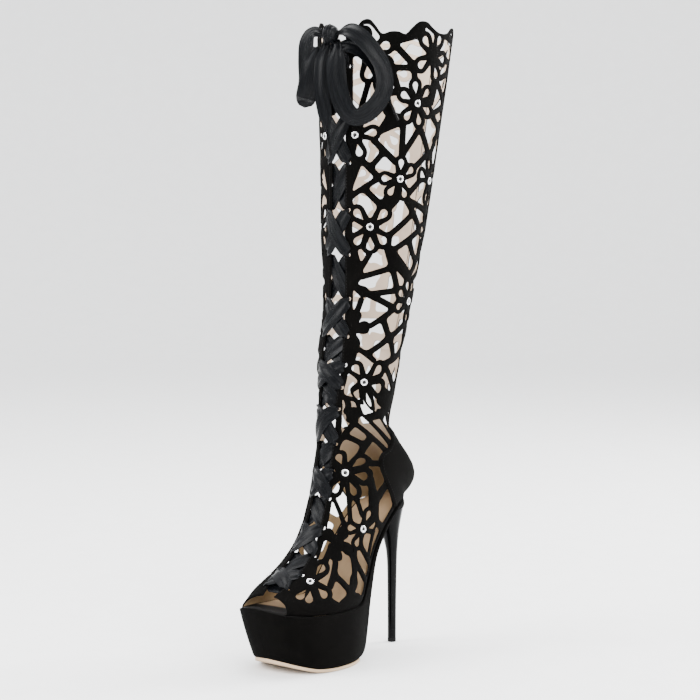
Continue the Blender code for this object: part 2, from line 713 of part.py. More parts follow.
# ================================================================ objects
def material(name, colour, roughness, metallic=0.0):
    made = bpy.data.materials.new(name)
    made.use_nodes = True
    shader = made.node_tree.nodes["Principled BSDF"]
    shader.inputs["Base Color"].default_value = (*colour, 1)
    shader.inputs["Roughness"].default_value = roughness
    shader.inputs["Metallic"].default_value = metallic
    made.diffuse_color = (*colour, 1)
    return made


SUEDE = material("black suede", (0.018, 0.017, 0.016), 0.9)
LEATHER = material("tan leather", (0.53, 0.38, 0.25), 0.6)
LACQUER = material("black lacquer", (0.01, 0.01, 0.011), 0.2)
SATIN = material("charcoal satin", (0.03, 0.032, 0.038), 0.45)
RUBBER = material("black rubber", (0.02, 0.02, 0.02), 0.7)
METAL = material("polished metal", (0.75, 0.75, 0.77), 0.25, 1.0)


def add_object(name, points, faces, finish, smooth=True):
    """One closed object from points in millimetres."""
    mesh = bpy.data.meshes.new(name)
    mesh.from_pydata([tuple(p) for p in np.asarray(points, float) * MM], [], [tuple(f) for f in faces])
    shape = bmesh.new()
    shape.from_mesh(mesh)
    bmesh.ops.remove_doubles(shape, verts=shape.verts, dist=2e-6)
    bmesh.ops.recalc_face_normals(shape, faces=shape.faces)
    shape.to_mesh(mesh)
    shape.free()
    mesh.materials.append(finish)
    if smooth:
        mesh.shade_smooth()
        mesh.set_sharp_from_angle(angle=math.radians(35))
    made = bpy.data.objects.new(name, mesh)
    bpy.context.scene.collection.objects.link(made)
    return made


def loft(name, rings, finish):
    """A closed skin through rings of equal length, with flat ends."""
    count = len(rings[0])
    points = np.vstack(rings)
    faces = []
    for k in range(len(rings) - 1):
        for i in range(count):
            j = (i + 1) % count
            faces.append((k * count + i, k * count + j, (k + 1) * count + j, (k + 1) * count + i))
    faces.append(tuple(range(count))[::-1])
    faces.append(tuple(range((len(rings) - 1) * count, len(rings) * count)))
    return add_object(name, points, faces, finish)


def cross_ring(top, top_half, low, low_half, corner):
    """One slice of the sole: flat on top, sides a little full, lower corners rounded."""
    top, low = np.array(top, float), np.array(low, float)
    shares = (0.0, 0.05, 0.4, 1.0)
    right = []
    for share in shares:
        y, z = low + (top - low) * share
        half = low_half + (top_half - low_half) * share + 1.2 * share * (1 - share) * 4
        right.append((half - (corner if share == 0 else 0), y, z))
    ring = right + [(-x, y, z) for x, y, z in right[::-1]]
    return np.array([(x + toe_curve(y), y, z) for x, y, z in ring])


def make_platform():
    rings = [
        cross_ring((r.top_y, r.top_z), r.top_half, (r.low_y, r.low_z), r.low_half, min(3, r.low_half / 3))
        for r in SOLE
    ]
    return loft("platform", rings, SUEDE)


def make_outsole():
    rings = []
    for r in SOLE[OUTSOLE_SLICES]:
        half = r.low_half - min(1.2, r.low_half / 6)
        top, low = r.low_z - CLEAR, r.low_z - CLEAR - OUTSOLE
        rings.append([(x + toe_curve(r.low_y), r.low_y, z) for x, z in
                      ((half - 0.6, low), (half, low + 0.8), (half, top), (-half, top), (-half, low + 0.8),
                       (0.6 - half, low))])
    return loft("outsole", [np.array(ring) for ring in rings], LEATHER)


def make_insole():
    """A sock that lies on the platform's top line."""
    rows = SOLE[INSOLE_SLICES]
    line = np.array([(r.top_y, r.top_z) for r in rows])
    slope = np.gradient(line, axis=0)
    lift = np.stack([-slope[:, 1], slope[:, 0]], -1) / np.linalg.norm(slope, axis=1)[:, None]
    rings = []
    for row, place, up in zip(rows, line, lift):
        half = row.top_half - min(INSOLE_INSET, row.top_half / 2)
        low, top = place + up * CLEAR, place + up * (CLEAR + INSOLE)
        ring = [(half, *low), (half, *top), (-half, *top), (-half, *low)]
        rings.append(np.array([(x + toe_curve(y), y, z) for x, y, z in ring]))
    return loft("insole", rings, LEATHER)


def round_ring(level, count=16):
    turns = np.arange(count) * 2 * math.pi / count
    return np.stack([level.half_x * np.cos(turns), level.mid_y + level.half_y * np.sin(turns),
                     np.full(count, float(level.z))], -1)


def make_heel():
    loft("heel", [round_ring(level) for level in HEEL], LACQUER)
    foot = HEEL[0]
    tip = [foot._replace(z=0), foot._replace(z=HEEL_TIP_HEIGHT)]
    loft("heel_tip", [round_ring(level) for level in tip], RUBBER)


def two_sides(flat, triangles, outer, inner):
    """The cut sheet on the outer and the inner side of the boot, sewn at the back seam."""
    points, faces = [], []
    for side in (1, -1):
        made, sides = raise_sheet(
            flat, triangles, lambda f, out, side=side: skin(f, side, out), outer, inner, on_back_seam
        )
        start = len(points)
        points += list(made)
        faces += [tuple(start + i for i in (face if side > 0 else face[::-1])) for face in sides]
    return points, faces


def upper_pattern():
    """The flat pattern of one side, its openings none too large."""
    solids, holes = upper_outlines()
    flat, triangles = cut(solids, holes)
    for _ in range(BRACE_ROUNDS):
        solids += braces(flat, triangles)
        flat, triangles = cut(solids, holes)
    return flat, triangles


def make_upper():
    curved = counter_points(10.0) + counter_front()[1:-1] + rim_points()
    flat, triangles = recut(*upper_pattern(), 1.3, 0.25, curved)
    return add_object("upper", *two_sides(flat, triangles, 0.0, -WALL), SUEDE)


def make_counter():
    flat, triangles = drop_slivers(*cut([counter_outline()], [], counter_points(10.0)))
    outer = COUNTER_GAP + COUNTER_WALL
    return add_object("heel_counter", *two_sides(flat, triangles, outer, COUNTER_GAP), SUEDE)


def back_point(up, x, out):
    """A point beside the back seam: x millimetres to the outer side, `out` outside the leather."""
    place = (half_girth(up) / 2 - abs(x), up)
    return skin(np.array([place]), 1 if x >= 0 else -1, np.array([out]))[0]


def make_zip():
    half, low, high = SLIT_HALF - CLEAR, -WALL, 0.5
    ups = [ZIP_FOOT + CLEAR] + [u for u in levels() if ZIP_FOOT + 4 < u < TOP - 12] + [TOP - 10]
    corners = ((half, high), (-half, high), (-half, low), (half, low))
    rings = [np.array([back_point(u, x, out) for x, out in corners]) for u in ups]
    return loft("zip_chain", rings, METAL)


# ---------------------------------------------------------------- slider and pull
SLIDER_UP = 601.0
SLIDER = (6.8, 8.0, 3.0)        # across, along, proud
ARCH_WIDTH = 1.6
ARCH_BAR = 0.9
ARCH_HALF = 2.0                 # half length of the arch outside
ARCH_ROOM = 2.2                 # clear height under it
PULL_WIDTH, PULL_LENGTH, PULL_THICK = 5.4, 21.0, 1.1


def box(name, size, finish):
    x, y, z = np.array(size) / 2
    corners = [(a, b, c) for c in (-z, z) for a, b in ((-x, -y), (x, -y), (x, y), (-x, y))]
    faces = [(3, 2, 1, 0), (4, 5, 6, 7), (0, 1, 5, 4), (1, 2, 6, 5), (2, 3, 7, 6), (3, 0, 4, 7)]
    return add_object(name, corners, faces, finish, smooth=False)


def join_cut(target, other, operation):
    change = target.modifiers.new(other.name, "BOOLEAN")
    change.operation = operation
    change.object = other
    other.hide_render = True
    other.display_type = "WIRE"


def make_slider():
    """Slider at the top of the zip, its arch, and the pull tab that swings on the arch."""
    seat = back_point(SLIDER_UP, 0, 0.5 + CLEAR)
    above = back_point(SLIDER_UP + 4, 0, 0.5 + CLEAR) - seat
    outward = back_point(SLIDER_UP, 0, 1.5 + CLEAR) - seat
    lean = math.atan2(-above[1], above[2])
    frame = bpy.data.objects.new("zip_top", None)
    bpy.context.scene.collection.objects.link(frame)
    frame.location = seat * MM
    frame.rotation_euler = (lean, 0, 0)
    wide, tall, proud = SLIDER
    slider = box("zip_slider", (wide, proud, tall), METAL)
    slider.location = (0, proud / 2 * MM, 0)
    arch_out = proud + ARCH_ROOM + ARCH_BAR
    arch = box("slider_arch", (ARCH_WIDTH, arch_out - 1, 2 * ARCH_HALF), METAL)
    arch.location = (0, (arch_out + 1) / 2 * MM, 0)
    room = box("slider_arch_room", (ARCH_WIDTH + 1, ARCH_ROOM, 2 * (ARCH_HALF - ARCH_BAR)), METAL)
    room.location = (0, (proud + ARCH_ROOM / 2) * MM, 0)
    for piece in (slider, arch, room):
        piece.parent = frame
    join_cut(slider, arch, "UNION")
    join_cut(slider, room, "DIFFERENCE")
    axis = bpy.data.objects.new("pull_axis", None)
    bpy.context.scene.collection.objects.link(axis)
    bar_out = proud + ARCH_ROOM / 2
    axis.location = (seat + outward / np.linalg.norm(outward) * bar_out) * MM
    pull = box("zip_pull", (PULL_WIDTH, PULL_THICK, PULL_LENGTH), METAL)
    pull.location = (0, 0, (PULL_THICK - PULL_LENGTH) / 2 * MM)
    slot_long = 3.4
    slot = box("pull_slot", (ARCH_WIDTH + 1.0, 3, slot_long), METAL)
    slot.location = (0, 0, -(PULL_THICK + slot_long) / 2 * MM)
    for piece in (pull, slot):
        piece.parent = axis
    join_cut(pull, slot, "DIFFERENCE")


# ---------------------------------------------------------------- lacing and bow
def front_skin(places, out):
    """Points over the open front: x is the way round from the ridge, positive to the outer side."""
    x, up = places.T
    flat = np.stack([np.abs(x) - half_girth(up) / 2, up], -1)
    points = skin(flat, 1, out)
    bend = toe_curve(points[:, 1])
    points[:, 0] = np.where(x < 0, -1, 1) * (points[:, 0] - bend) + bend
    return points


def make_lace():
    """Crossings between one eyelet level and the next, and a bar at the toe."""
    places = [(throat_gap(u) + THROAT_BAND / 2, u) for u in EYELETS]
    strips = []
    for (x0, u0), (x1, u1) in zip(places, places[1:]):
        for sign in (1, -1):
            strips.append(bar(np.array([-sign * x0, u0]), np.array([sign * x1, u1]), RIBBON))
    first_x, first_up = places[0]
    strips.append(bar(np.array([-first_x, first_up]), np.array([first_x, first_up]), RIBBON))
    last_x, last_up = places[-1]
    for sign in (1, -1):
        strips.append(bar(np.array([sign * last_x, last_up]), np.array([0, KNOT_UP]), RIBBON))
    flat, triangles = cut(strips, [])
    outer = LACE_GAP + RIBBON_THICK
    return add_object("lace", *raise_sheet(flat, triangles, front_skin, outer, LACE_GAP), SATIN)


KNOT_UP = 602.0                 # chart height where the lacing goes into the knot
KNOT_MIDDLE = (0, 19.8, 585)
KNOT_HALF = (8.0, 6.0, 8.4)
KNOT_TURN = 0.3 * math.pi       # how far the knot's curve runs toward its flat ends
TUBE = 2.4
# Centre lines of the bow's loops and ends, by hand, outer side first.
BOW = {
    "loop_outer": (
        (8.7, 19.8, 586), (23, 19.5, 588), (37, 26, 578), (48, 37, 556), (49.5, 39, 533), (41, 30, 514),
        (29, 20, 508), (20, 13, 522), (14.5, 11.5, 550), (12.5, 16.5, 575),
    ),
    "loop_inner": (
        (-8.7, 20.5, 586), (-18, 16.5, 588), (-26, 16, 579), (-29.5, 19, 562), (-29.5, 20, 545),
        (-27, 15, 530), (-21, 9.5, 526), (-15.5, 7, 538), (-12, 8.5, 557), (-12.3, 16.0, 574),
    ),
    "end_outer": (
        (3.4, 19.5, 577.2), (8, 21, 572.5), (18, 24.5, 574), (30, 31, 568), (39, 39, 555),
        (43.5, 44.5, 538), (48.5, 51, 519),
    ),
    "end_inner": (
        (-3.4, 20.5, 577.2), (-4, 18, 571), (-4, 12, 558), (-1, 8.5, 532), (2, 11, 508), (3, 14, 488),
    ),
}


def make_knot():
    count, rings = 12, 7
    stack = []
    for turn in np.linspace(-KNOT_TURN, KNOT_TURN, rings):
        around = np.arange(count) * 2 * math.pi / count
        stack.append(np.array(KNOT_MIDDLE) + np.stack([
            KNOT_HALF[0] * math.cos(turn) * np.cos(around), KNOT_HALF[1] * math.cos(turn) * np.sin(around),
            np.full(count, KNOT_HALF[2] * math.sin(turn))], -1))
    return loft("bow_knot", stack, SATIN)


def make_cord(name, route, per_point=2):
    smooth = through(np.array(route, float), np.linspace(0, len(route) - 1, (len(route) - 1) * per_point + 1))
    curve = bpy.data.curves.new(name, "CURVE")
    curve.dimensions = "3D"
    curve.bevel_depth = TUBE * MM
    curve.bevel_resolution = 2
    curve.use_fill_caps = True
    line = curve.splines.new("POLY")
    line.points.add(len(smooth) - 1)
    for point, place in zip(line.points, smooth):
        point.co = (*(place * MM), 1)
    curve.materials.append(SATIN)
    made = bpy.data.objects.new(name, curve)
    bpy.context.scene.collection.objects.link(made)
    return made


def make_studs():
    """Domed rings in the middle of flowers, on both sides."""
    count, wide, narrow, proud, base = 8, 3.5, 2.1, 1.6, 0.4
    for flower in (f for f in FLOWERS if f.stud):
        for side, word in ((1, "outer"), (-1, "inner")):
            centre = chart(flower.around, flower.up)
            seat = skin(centre[None], side, np.array([base]))[0]
            out = skin(centre[None], side, np.array([base + 1]))[0] - seat
            turn = Vector(out).to_track_quat("Z", "Y").to_matrix()
            rings = []
            for radius, height in ((wide, 0), (wide, 0.5), (narrow, proud)):
                ring = [turn @ Vector((radius * math.cos(a), radius * math.sin(a), height))
                        for a in np.arange(count) * 2 * math.pi / count]
                rings.append(np.array([seat + np.array(v) for v in ring]))
            loft(f"stud_{flower.name}_{word}", rings, METAL)


def main():
    for old in list(bpy.data.objects):
        bpy.data.objects.remove(old, do_unlink=True)
    make_outsole()
    make_platform()
    make_insole()
    make_heel()
    make_upper()
    make_counter()
    make_zip()
    make_slider()
    make_lace()
    make_knot()
    for name, route in BOW.items():
        make_cord(name, route)
    make_studs()
    bpy.context.view_layer.update()
    print("boot:", len(bpy.data.objects), "objects")


if __name__ == "__main__":
    main()
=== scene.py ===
# %% [markdown]
# # A peep-toe knee-high boot with a cut-out shaft
# The boot is a left one. It stands on a high platform and a stiletto heel. Its shaft is suede leather
# cut out in flowers and bars, laced down the open front with a satin ribbon and closed by a zip at the back.
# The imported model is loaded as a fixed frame, and every cell builds one piece of the boot around it.

import math
from collections import namedtuple

import bmesh
import bpy
import numpy as np
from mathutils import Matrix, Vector, kdtree
from mathutils.geometry import delaunay_2d_cdt


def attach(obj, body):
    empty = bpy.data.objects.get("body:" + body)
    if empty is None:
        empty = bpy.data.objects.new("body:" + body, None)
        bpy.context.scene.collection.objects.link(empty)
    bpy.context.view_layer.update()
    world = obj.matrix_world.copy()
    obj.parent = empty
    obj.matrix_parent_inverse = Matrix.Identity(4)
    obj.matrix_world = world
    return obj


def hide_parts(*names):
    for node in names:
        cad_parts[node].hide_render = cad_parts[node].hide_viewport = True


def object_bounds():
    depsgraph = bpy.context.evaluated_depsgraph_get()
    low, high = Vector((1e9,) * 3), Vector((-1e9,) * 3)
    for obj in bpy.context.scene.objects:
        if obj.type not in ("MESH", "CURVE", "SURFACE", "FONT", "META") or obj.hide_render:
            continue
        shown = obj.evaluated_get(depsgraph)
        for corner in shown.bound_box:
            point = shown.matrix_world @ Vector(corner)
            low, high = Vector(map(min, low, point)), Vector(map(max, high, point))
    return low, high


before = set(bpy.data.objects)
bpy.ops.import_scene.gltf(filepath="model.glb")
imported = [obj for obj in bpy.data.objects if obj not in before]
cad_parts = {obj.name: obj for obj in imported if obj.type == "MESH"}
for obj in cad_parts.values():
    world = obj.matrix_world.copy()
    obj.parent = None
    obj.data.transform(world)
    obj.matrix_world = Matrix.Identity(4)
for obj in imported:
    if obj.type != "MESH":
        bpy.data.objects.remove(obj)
cad_box = [list(corner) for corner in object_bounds()]
LOW, HIGH = Vector(cad_box[0]), Vector(cad_box[1])
MM = 0.001
BOOT, PULL = "boot", "zip_pull"
print("frame:", len(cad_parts), "nodes,", [round((b - a) / MM, 1) for a, b in zip(*cad_box)], "mm")

# %% [markdown]
# ## Camera, floor and light
# A long lens from 1.8 metres away keeps the tall shaft upright, as a catalogue picture does. The floor
# is pale paper that sweeps up into a wall all round, so that no horizon shows. Black suede swallows
# light, so one large soft source stands at the front left, a second fills the outer side, a third
# behind draws a bright line down heel and ribbon, and a fourth hangs above.

# %% camera
CAMERA_PLACE = Vector((1.167, -1.307, 0.4095))
LENS = 97.15
AIM_DROP = 0.009
aim = (LOW + HIGH) / 2 - Vector((0, 0, AIM_DROP))
camera = bpy.data.objects.new("camera", bpy.data.cameras.new("camera"))
camera.data.lens = LENS
camera.location = CAMERA_PLACE
camera.rotation_euler = (aim - CAMERA_PLACE).to_track_quat("-Z", "Y").to_euler()
bpy.context.scene.collection.objects.link(camera)
bpy.context.scene.camera = camera
print("camera:", round((aim - CAMERA_PLACE).length, 3), "m from the boot")

# %% soft studio light
Lamp = namedtuple("Lamp", "name place size power")
LAMPS = [Lamp(*row) for row in (
    ("key", (-1.3, -1.9, 1.7), 1.4, 110),
    ("fill", (2.1, -0.5, 1.0), 1.2, 60),
    ("rim", (0.7, 1.9, 1.3), 1.0, 90),
    ("top", (-0.2, 0.2, 2.2), 1.2, 60),
)]
WORLD_COLOUR, WORLD_STRENGTH = (0.98, 0.99, 1.0, 1), 2.6

for lamp in LAMPS:
    light = bpy.data.lights.new(lamp.name, "AREA")
    light.size, light.energy = lamp.size, lamp.power
    holder = bpy.data.objects.new(lamp.name, light)
    holder.location = lamp.place
    holder.rotation_euler = (aim - Vector(lamp.place)).to_track_quat("-Z", "Y").to_euler()
    bpy.context.scene.collection.objects.link(holder)
world = bpy.data.worlds.new("studio")
world.use_nodes = True
world.node_tree.nodes["Background"].inputs["Color"].default_value = WORLD_COLOUR
world.node_tree.nodes["Background"].inputs["Strength"].default_value = WORLD_STRENGTH
bpy.context.scene.world = world
print("light:", [lamp.name for lamp in LAMPS])

# %% [markdown]
# ## Surface effects
# Suede, grained leather, satin and metal share a few effects: a nap of fine fibres, a pebbled grain, a
# weave whose streaks are a painted sheen, and fine brushing. Each effect is one shader node group with
# named inputs, placed in a material with that material's own sizes. Nap, grain and brushing read object
# coordinates, because leather has no direction on a cut piece. The weave reads the ribbon's own UV map, so
# that threads follow its turns.

# %% helpers for nodes
def node(tree, kind, **settings):
    """A new node with its properties set."""
    made = tree.nodes.new(kind)
    for key, value in settings.items():
        setattr(made, key, value)
    return made


def feed(tree, target, **values):
    """Sets a node's inputs by name, with an underscore for a space: a socket links, a number stays."""
    for key, value in values.items():
        socket = target.inputs[key.replace("_", " ")]
        if isinstance(value, bpy.types.NodeSocket):
            tree.links.new(value, socket)
        else:
            socket.default_value = value
    return target


def wired(tree, kind, output, settings=(), **inputs):
    """One output of a new node whose properties and inputs are set."""
    return feed(tree, node(tree, kind, **dict(settings)), **inputs).outputs[output]


def effect(name, inputs, outputs):
    """An empty shader node group with float inputs and outputs, its sizes and its end node."""
    tree = bpy.data.node_groups.new(name, "ShaderNodeTree")
    for label, value in inputs.items():
        tree.interface.new_socket(label, in_out="INPUT", socket_type="NodeSocketFloat").default_value = value
    for label in outputs:
        tree.interface.new_socket(label, in_out="OUTPUT", socket_type="NodeSocketFloat")
    return tree, tree.nodes.new("NodeGroupInput").outputs, tree.nodes.new("NodeGroupOutput")


def weigh(tree, first, second, share):
    """A blend of two values."""
    return wired(tree, "ShaderNodeMix", "Result", {"data_type": "FLOAT"}, Factor=share, A=first, B=second)


def level(tree, value, low, high, lowest=0.0, highest=1.0):
    """The value stretched from one range to another."""
    return wired(tree, "ShaderNodeMapRange", "Result", Value=value, From_Min=low, From_Max=high,
                 To_Min=lowest, To_Max=highest)


def noise(tree, place, scale, **more):
    return wired(tree, "ShaderNodeTexNoise", "Fac", Vector=place, Scale=scale, **more)


# %% nap: the fibres of suede
nap, sizes, end = effect("nap", {"Fibre Scale": 1400, "Cloud Scale": 38}, ("Shade", "Height"))
place = wired(nap, "ShaderNodeTexCoord", "Object")
fibre = noise(nap, place, sizes["Fibre Scale"], Detail=4.0, Roughness=0.7)
cloud = noise(nap, place, sizes["Cloud Scale"], Detail=5.0, Roughness=0.6, Distortion=0.8)
feed(nap, end, Shade=weigh(nap, level(nap, cloud, 0.35, 0.65), fibre, 0.45), Height=fibre)
print("effect:", nap.name)

# %% grain: the pebbles and pores of smooth leather
grain, sizes, end = effect("grain", {"Pebble Scale": 900, "Tone Scale": 25}, ("Tone", "Height"))
place = wired(grain, "ShaderNodeTexCoord", "Object")
pebble = wired(grain, "ShaderNodeTexVoronoi", "Distance", {"feature": "SMOOTH_F1"}, Vector=place,
               Scale=sizes["Pebble Scale"], Smoothness=0.6)
pore = noise(grain, place, sizes["Pebble Scale"], Detail=3.0)
tone = noise(grain, place, sizes["Tone Scale"], Detail=4.0, Roughness=0.65)
feed(grain, end, Tone=level(grain, tone, 0.3, 0.7), Height=weigh(grain, pebble, pore, 0.4))
print("effect:", grain.name)

# %% weave: the threads of satin and tape, with streaks of painted sheen along them
weave, sizes, end = effect("weave", {"Thread Scale": 2600, "Streak Scale": 420}, ("Streak", "Height"))
place = wired(weave, "ShaderNodeTexCoord", "UV")
warp, weft = [wired(weave, "ShaderNodeTexWave", "Fac", {"bands_direction": way}, Vector=place,
                    Scale=sizes["Thread Scale"], Distortion=0.4) for way in "XY"]
# streaks stretched along the threads: they lighten the colour as a painted sheen, and they also set the
# roughness
stretched = wired(weave, "ShaderNodeMapping", "Vector", Vector=place, Scale=(1.0, 0.06, 1.0))
sheen_streak = noise(weave, stretched, sizes["Streak Scale"], Detail=4.0)
feed(weave, end, Streak=level(weave, sheen_streak, 0.3, 0.7), Height=weigh(weave, warp, weft, 0.35))
print("effect:", weave.name)

# %% brushing: fine scratches in metal and lacquer
brushing, sizes, end = effect("brushing", {"Scratch Scale": 260}, ("Scratch",))
place = wired(brushing, "ShaderNodeTexCoord", "Object")
drawn = wired(brushing, "ShaderNodeMapping", "Vector", Vector=place, Scale=(9.0, 9.0, 1.0))
scratch = noise(brushing, drawn, sizes["Scratch Scale"], Detail=3.0)
feed(brushing, end, Scratch=level(brushing, scratch, 0.35, 0.65))
print("effect:", brushing.name)

# %% [markdown]
# ## Finishes
# The boot's leather is nearly black suede, matt with a faint bloom where light grazes the nap. Ribbon and
# bow are charcoal satin. The lining is pale peach leather, darker and browner toward the bottom. The insole
# is tan, and black where it shows under the toes. The heel is lacquered, the studs are polished metal and
# the zip is dark metal. Each finish is a Principled shader whose colour, roughness and bump come from an
# effect, and whose fixed values sit on the shader itself. A kind of surface names its effect, the outputs
# that carry its tone and its height, and how strong and how deep its bump is.

# %% finishes
Kind = namedtuple("Kind", "effect tone height strength depth")
NAPPED = Kind(nap, "Shade", "Height", 0.55, 0.0005)
LEATHER = Kind(grain, "Tone", "Height", 0.35, 0.0003)
# the weave's streak is the tone of woven finishes; it lightens satin, tape and thread in streaks as a painted
# sheen
WOVEN = Kind(weave, "Streak", "Height", 0.25, 0.0001)
POLISHED = Kind(brushing, "Scratch", "Scratch", 0.06, 0.0001)


def colours(tree, share, dark, light):
    """A colour between two, numbers or sockets, by a share that changes over the surface."""
    blend = node(tree, "ShaderNodeMix", data_type="RGBA")
    tree.links.new(share, blend.inputs["Factor"])
    for socket, colour in zip([s for s in blend.inputs if s.type == "RGBA"], (dark, light)):
        if isinstance(colour, tuple):
            socket.default_value = (*colour, 1)
        else:
            tree.links.new(colour, socket)
    return [s for s in blend.outputs if s.type == "RGBA"][0]


def finish(name, kind, dark, light, rough, sizes=(), change=None, **fixed):
    """A material whose colour and roughness follow the effect's tone. With a change (axis, start, end),
    dark and light are pairs, and each goes over from its first colour to its second along that axis."""
    made = bpy.data.materials.new(name)
    made.use_nodes = True
    tree = made.node_tree
    surface = feed(tree, node(tree, "ShaderNodeGroup", node_tree=kind.effect), **dict(sizes)).outputs
    if change:
        axis, start, end = change
        along = wired(tree, "ShaderNodeSeparateXYZ", axis, Vector=wired(tree, "ShaderNodeTexCoord", "Object"))
        dark, light = [colours(tree, level(tree, along, start, end), *pair) for pair in (dark, light)]
    feed(
        tree, tree.nodes["Principled BSDF"],
        Base_Color=colours(tree, surface[kind.tone], dark, light),
        Roughness=level(tree, surface[kind.tone], 0, 1, *rough),
        Normal=wired(tree, "ShaderNodeBump", "Normal", Height=surface[kind.height],
                     Strength=kind.strength, Distance=kind.depth),
        **fixed,
    )
    return made


SUEDE = finish("black suede", NAPPED, (0.0007, 0.00065, 0.0006), (0.0024, 0.0022, 0.002), (0.82, 0.97),
               Sheen_Weight=0.004, Sheen_Roughness=0.45, Specular_IOR_Level=0.02)
CUT_EDGE = finish("painted cut edge", LEATHER, (0.001, 0.0009, 0.0008), (0.003, 0.0026, 0.0022), (0.74, 0.86),
                  Specular_IOR_Level=0.08)
LINING = finish("pale lining", LEATHER, ((0.20, 0.14, 0.075), (0.50, 0.41, 0.33)),
                ((0.28, 0.20, 0.115), (0.60, 0.50, 0.41)), (0.62, 0.74), {"Pebble_Scale": 1200},
                ("Z", 0.17, 0.27), Specular_IOR_Level=0.06)
SOCK = finish("insole leather, black under the toes", LEATHER, ((0.0015, 0.0014, 0.0013), (0.25, 0.17, 0.10)),
              ((0.004, 0.0036, 0.0034), (0.34, 0.24, 0.145)), (0.62, 0.74), {"Pebble_Scale": 1200},
              ("Y", -0.045, -0.040), Specular_IOR_Level=0.06)
SOLE_EDGE = finish("outsole leather", LEATHER, (0.34, 0.23, 0.13), (0.46, 0.33, 0.21), (0.44, 0.56),
                   {"Pebble_Scale": 500})
RUBBER = finish("black rubber", LEATHER, (0.003, 0.003, 0.003), (0.008, 0.008, 0.008), (0.74, 0.86),
                {"Pebble_Scale": 1600}, Specular_IOR_Level=0.1)
FLOOR = finish("pale paper", LEATHER, (0.78, 0.78, 0.78), (0.81, 0.81, 0.81), (0.69, 0.81),
               {"Pebble_Scale": 300})
# the satin's colour goes lighter along the weave's streaks: a painted sheen
SATIN = finish("charcoal satin", WOVEN, (0.0015, 0.0017, 0.0021), (0.0023, 0.0026, 0.0033), (0.22, 0.32),
               Specular_IOR_Level=0.065)
TAPE = finish("black zip tape", WOVEN, (0.002, 0.002, 0.002), (0.006, 0.006, 0.006), (0.85, 0.95),
              {"Thread_Scale": 1500}, Specular_IOR_Level=0.1)
THREAD = finish("black thread", WOVEN, (0.002, 0.002, 0.002), (0.007, 0.007, 0.007), (0.65, 0.75),
                {"Thread_Scale": 3000}, Specular_IOR_Level=0.1)
LACQUER = finish("black lacquer", POLISHED, (0.0006, 0.0006, 0.0007), (0.002, 0.002, 0.0022), (0.12, 0.208),
                 Specular_IOR_Level=0.07)
METAL = finish("polished metal", POLISHED, (0.62, 0.62, 0.63), (0.8, 0.8, 0.8), (0.15, 0.26), Metallic=1.0)
GUNMETAL = finish("zip's dark metal", POLISHED, (0.045, 0.045, 0.048), (0.08, 0.08, 0.085), (0.1875, 0.325),
                  Metallic=1.0)
DARK_METAL = finish("stud's dark middle", POLISHED, (0.003, 0.003, 0.003), (0.01, 0.01, 0.01),
                    (0.2625, 0.455), Specular_IOR_Level=0.2)
print("finishes:", len(bpy.data.materials))

# %% floor that sweeps up into a wall all round
FLOOR_FLAT, SWEEP, WALL_TOP, AROUND = 3.6, 2.0, 2.6, 96      # metres, and steps round
turns = np.linspace(0, math.pi / 2, 20)
profile = [(0, 0)] + [(FLOOR_FLAT + SWEEP * math.sin(a), SWEEP * (1 - math.cos(a))) for a in turns]
profile.append((FLOOR_FLAT + SWEEP, WALL_TOP))
paper = bmesh.new()
line = [paper.verts.new((across, 0, up)) for across, up in profile]
edges = [paper.edges.new(pair) for pair in zip(line, line[1:])]
bmesh.ops.spin(paper, geom=line + edges, cent=(0, 0, 0), axis=(0, 0, 1), angle=2 * math.pi, steps=AROUND)
bmesh.ops.remove_doubles(paper, verts=paper.verts, dist=0.0001)
paper.normal_update()
bmesh.ops.reverse_faces(paper, faces=[face for face in paper.faces if face.normal.z < 0])
floor_mesh = bpy.data.meshes.new("floor")
paper.to_mesh(floor_mesh)
paper.free()
floor_mesh.shade_smooth()
floor_mesh.materials.append(FLOOR)
floor = bpy.data.objects.new("floor", floor_mesh)
bpy.context.scene.collection.objects.link(floor)
print("floor:", 2 * FLOOR_FLAT, "m of flat paper")


# %% [markdown]
# ## Building shapes
# A shoe is drawn in millimetres, so points are worked out in millimetres and scaled once, when the mesh
# is made. Rows of a few given numbers become smooth lines with a Catmull-Rom curve, which runs through
# every row, as a batten bends through its pins.

# %% smooth lines and closed meshes
def through(rows, place):
    """Smooth rows of numbers at fractional row number `place`."""
    rows = np.asarray(rows, float)
    last = len(rows) - 1
    place = np.clip(np.asarray(place, float), 0, last - 1e-9)
    index = place.astype(int)
    f = (place - index)[..., None]
    a, b = rows[index], rows[index + 1]
    before = np.where((index > 0)[..., None], rows[np.maximum(index - 1, 0)], 2 * a - b)
    after = np.where((index < last - 1)[..., None], rows[np.minimum(index + 2, last)], 2 * b - a)
    slope_a, slope_b = (b - before) / 2, (after - a) / 2
    return (
        (2 * f**3 - 3 * f**2 + 1) * a
        + (f**3 - 2 * f**2 + f) * slope_a
        + (3 * f**2 - 2 * f**3) * b
        + (f**3 - f**2) * slope_b
    )


def smooth_rows(rows, parts):
    """Rows with `parts` steps between each two."""
    return through(rows, np.linspace(0, len(rows) - 1, (len(rows) - 1) * parts + 1))


def soft_step(value, start, end):
    share = np.clip((np.asarray(value, float) - start) / (end - start), 0, 1)
    return share * share * (3 - 2 * share)


def shown(name, mesh, sharp, body):
    """The mesh as an object that rides on its body."""
    mesh.shade_smooth()
    mesh.set_sharp_from_angle(angle=math.radians(sharp))
    made = bpy.data.objects.new(name, mesh)
    bpy.context.scene.collection.objects.link(made)
    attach(made, body)
    print(f"{name}: {len(mesh.polygons)} faces")
    return made


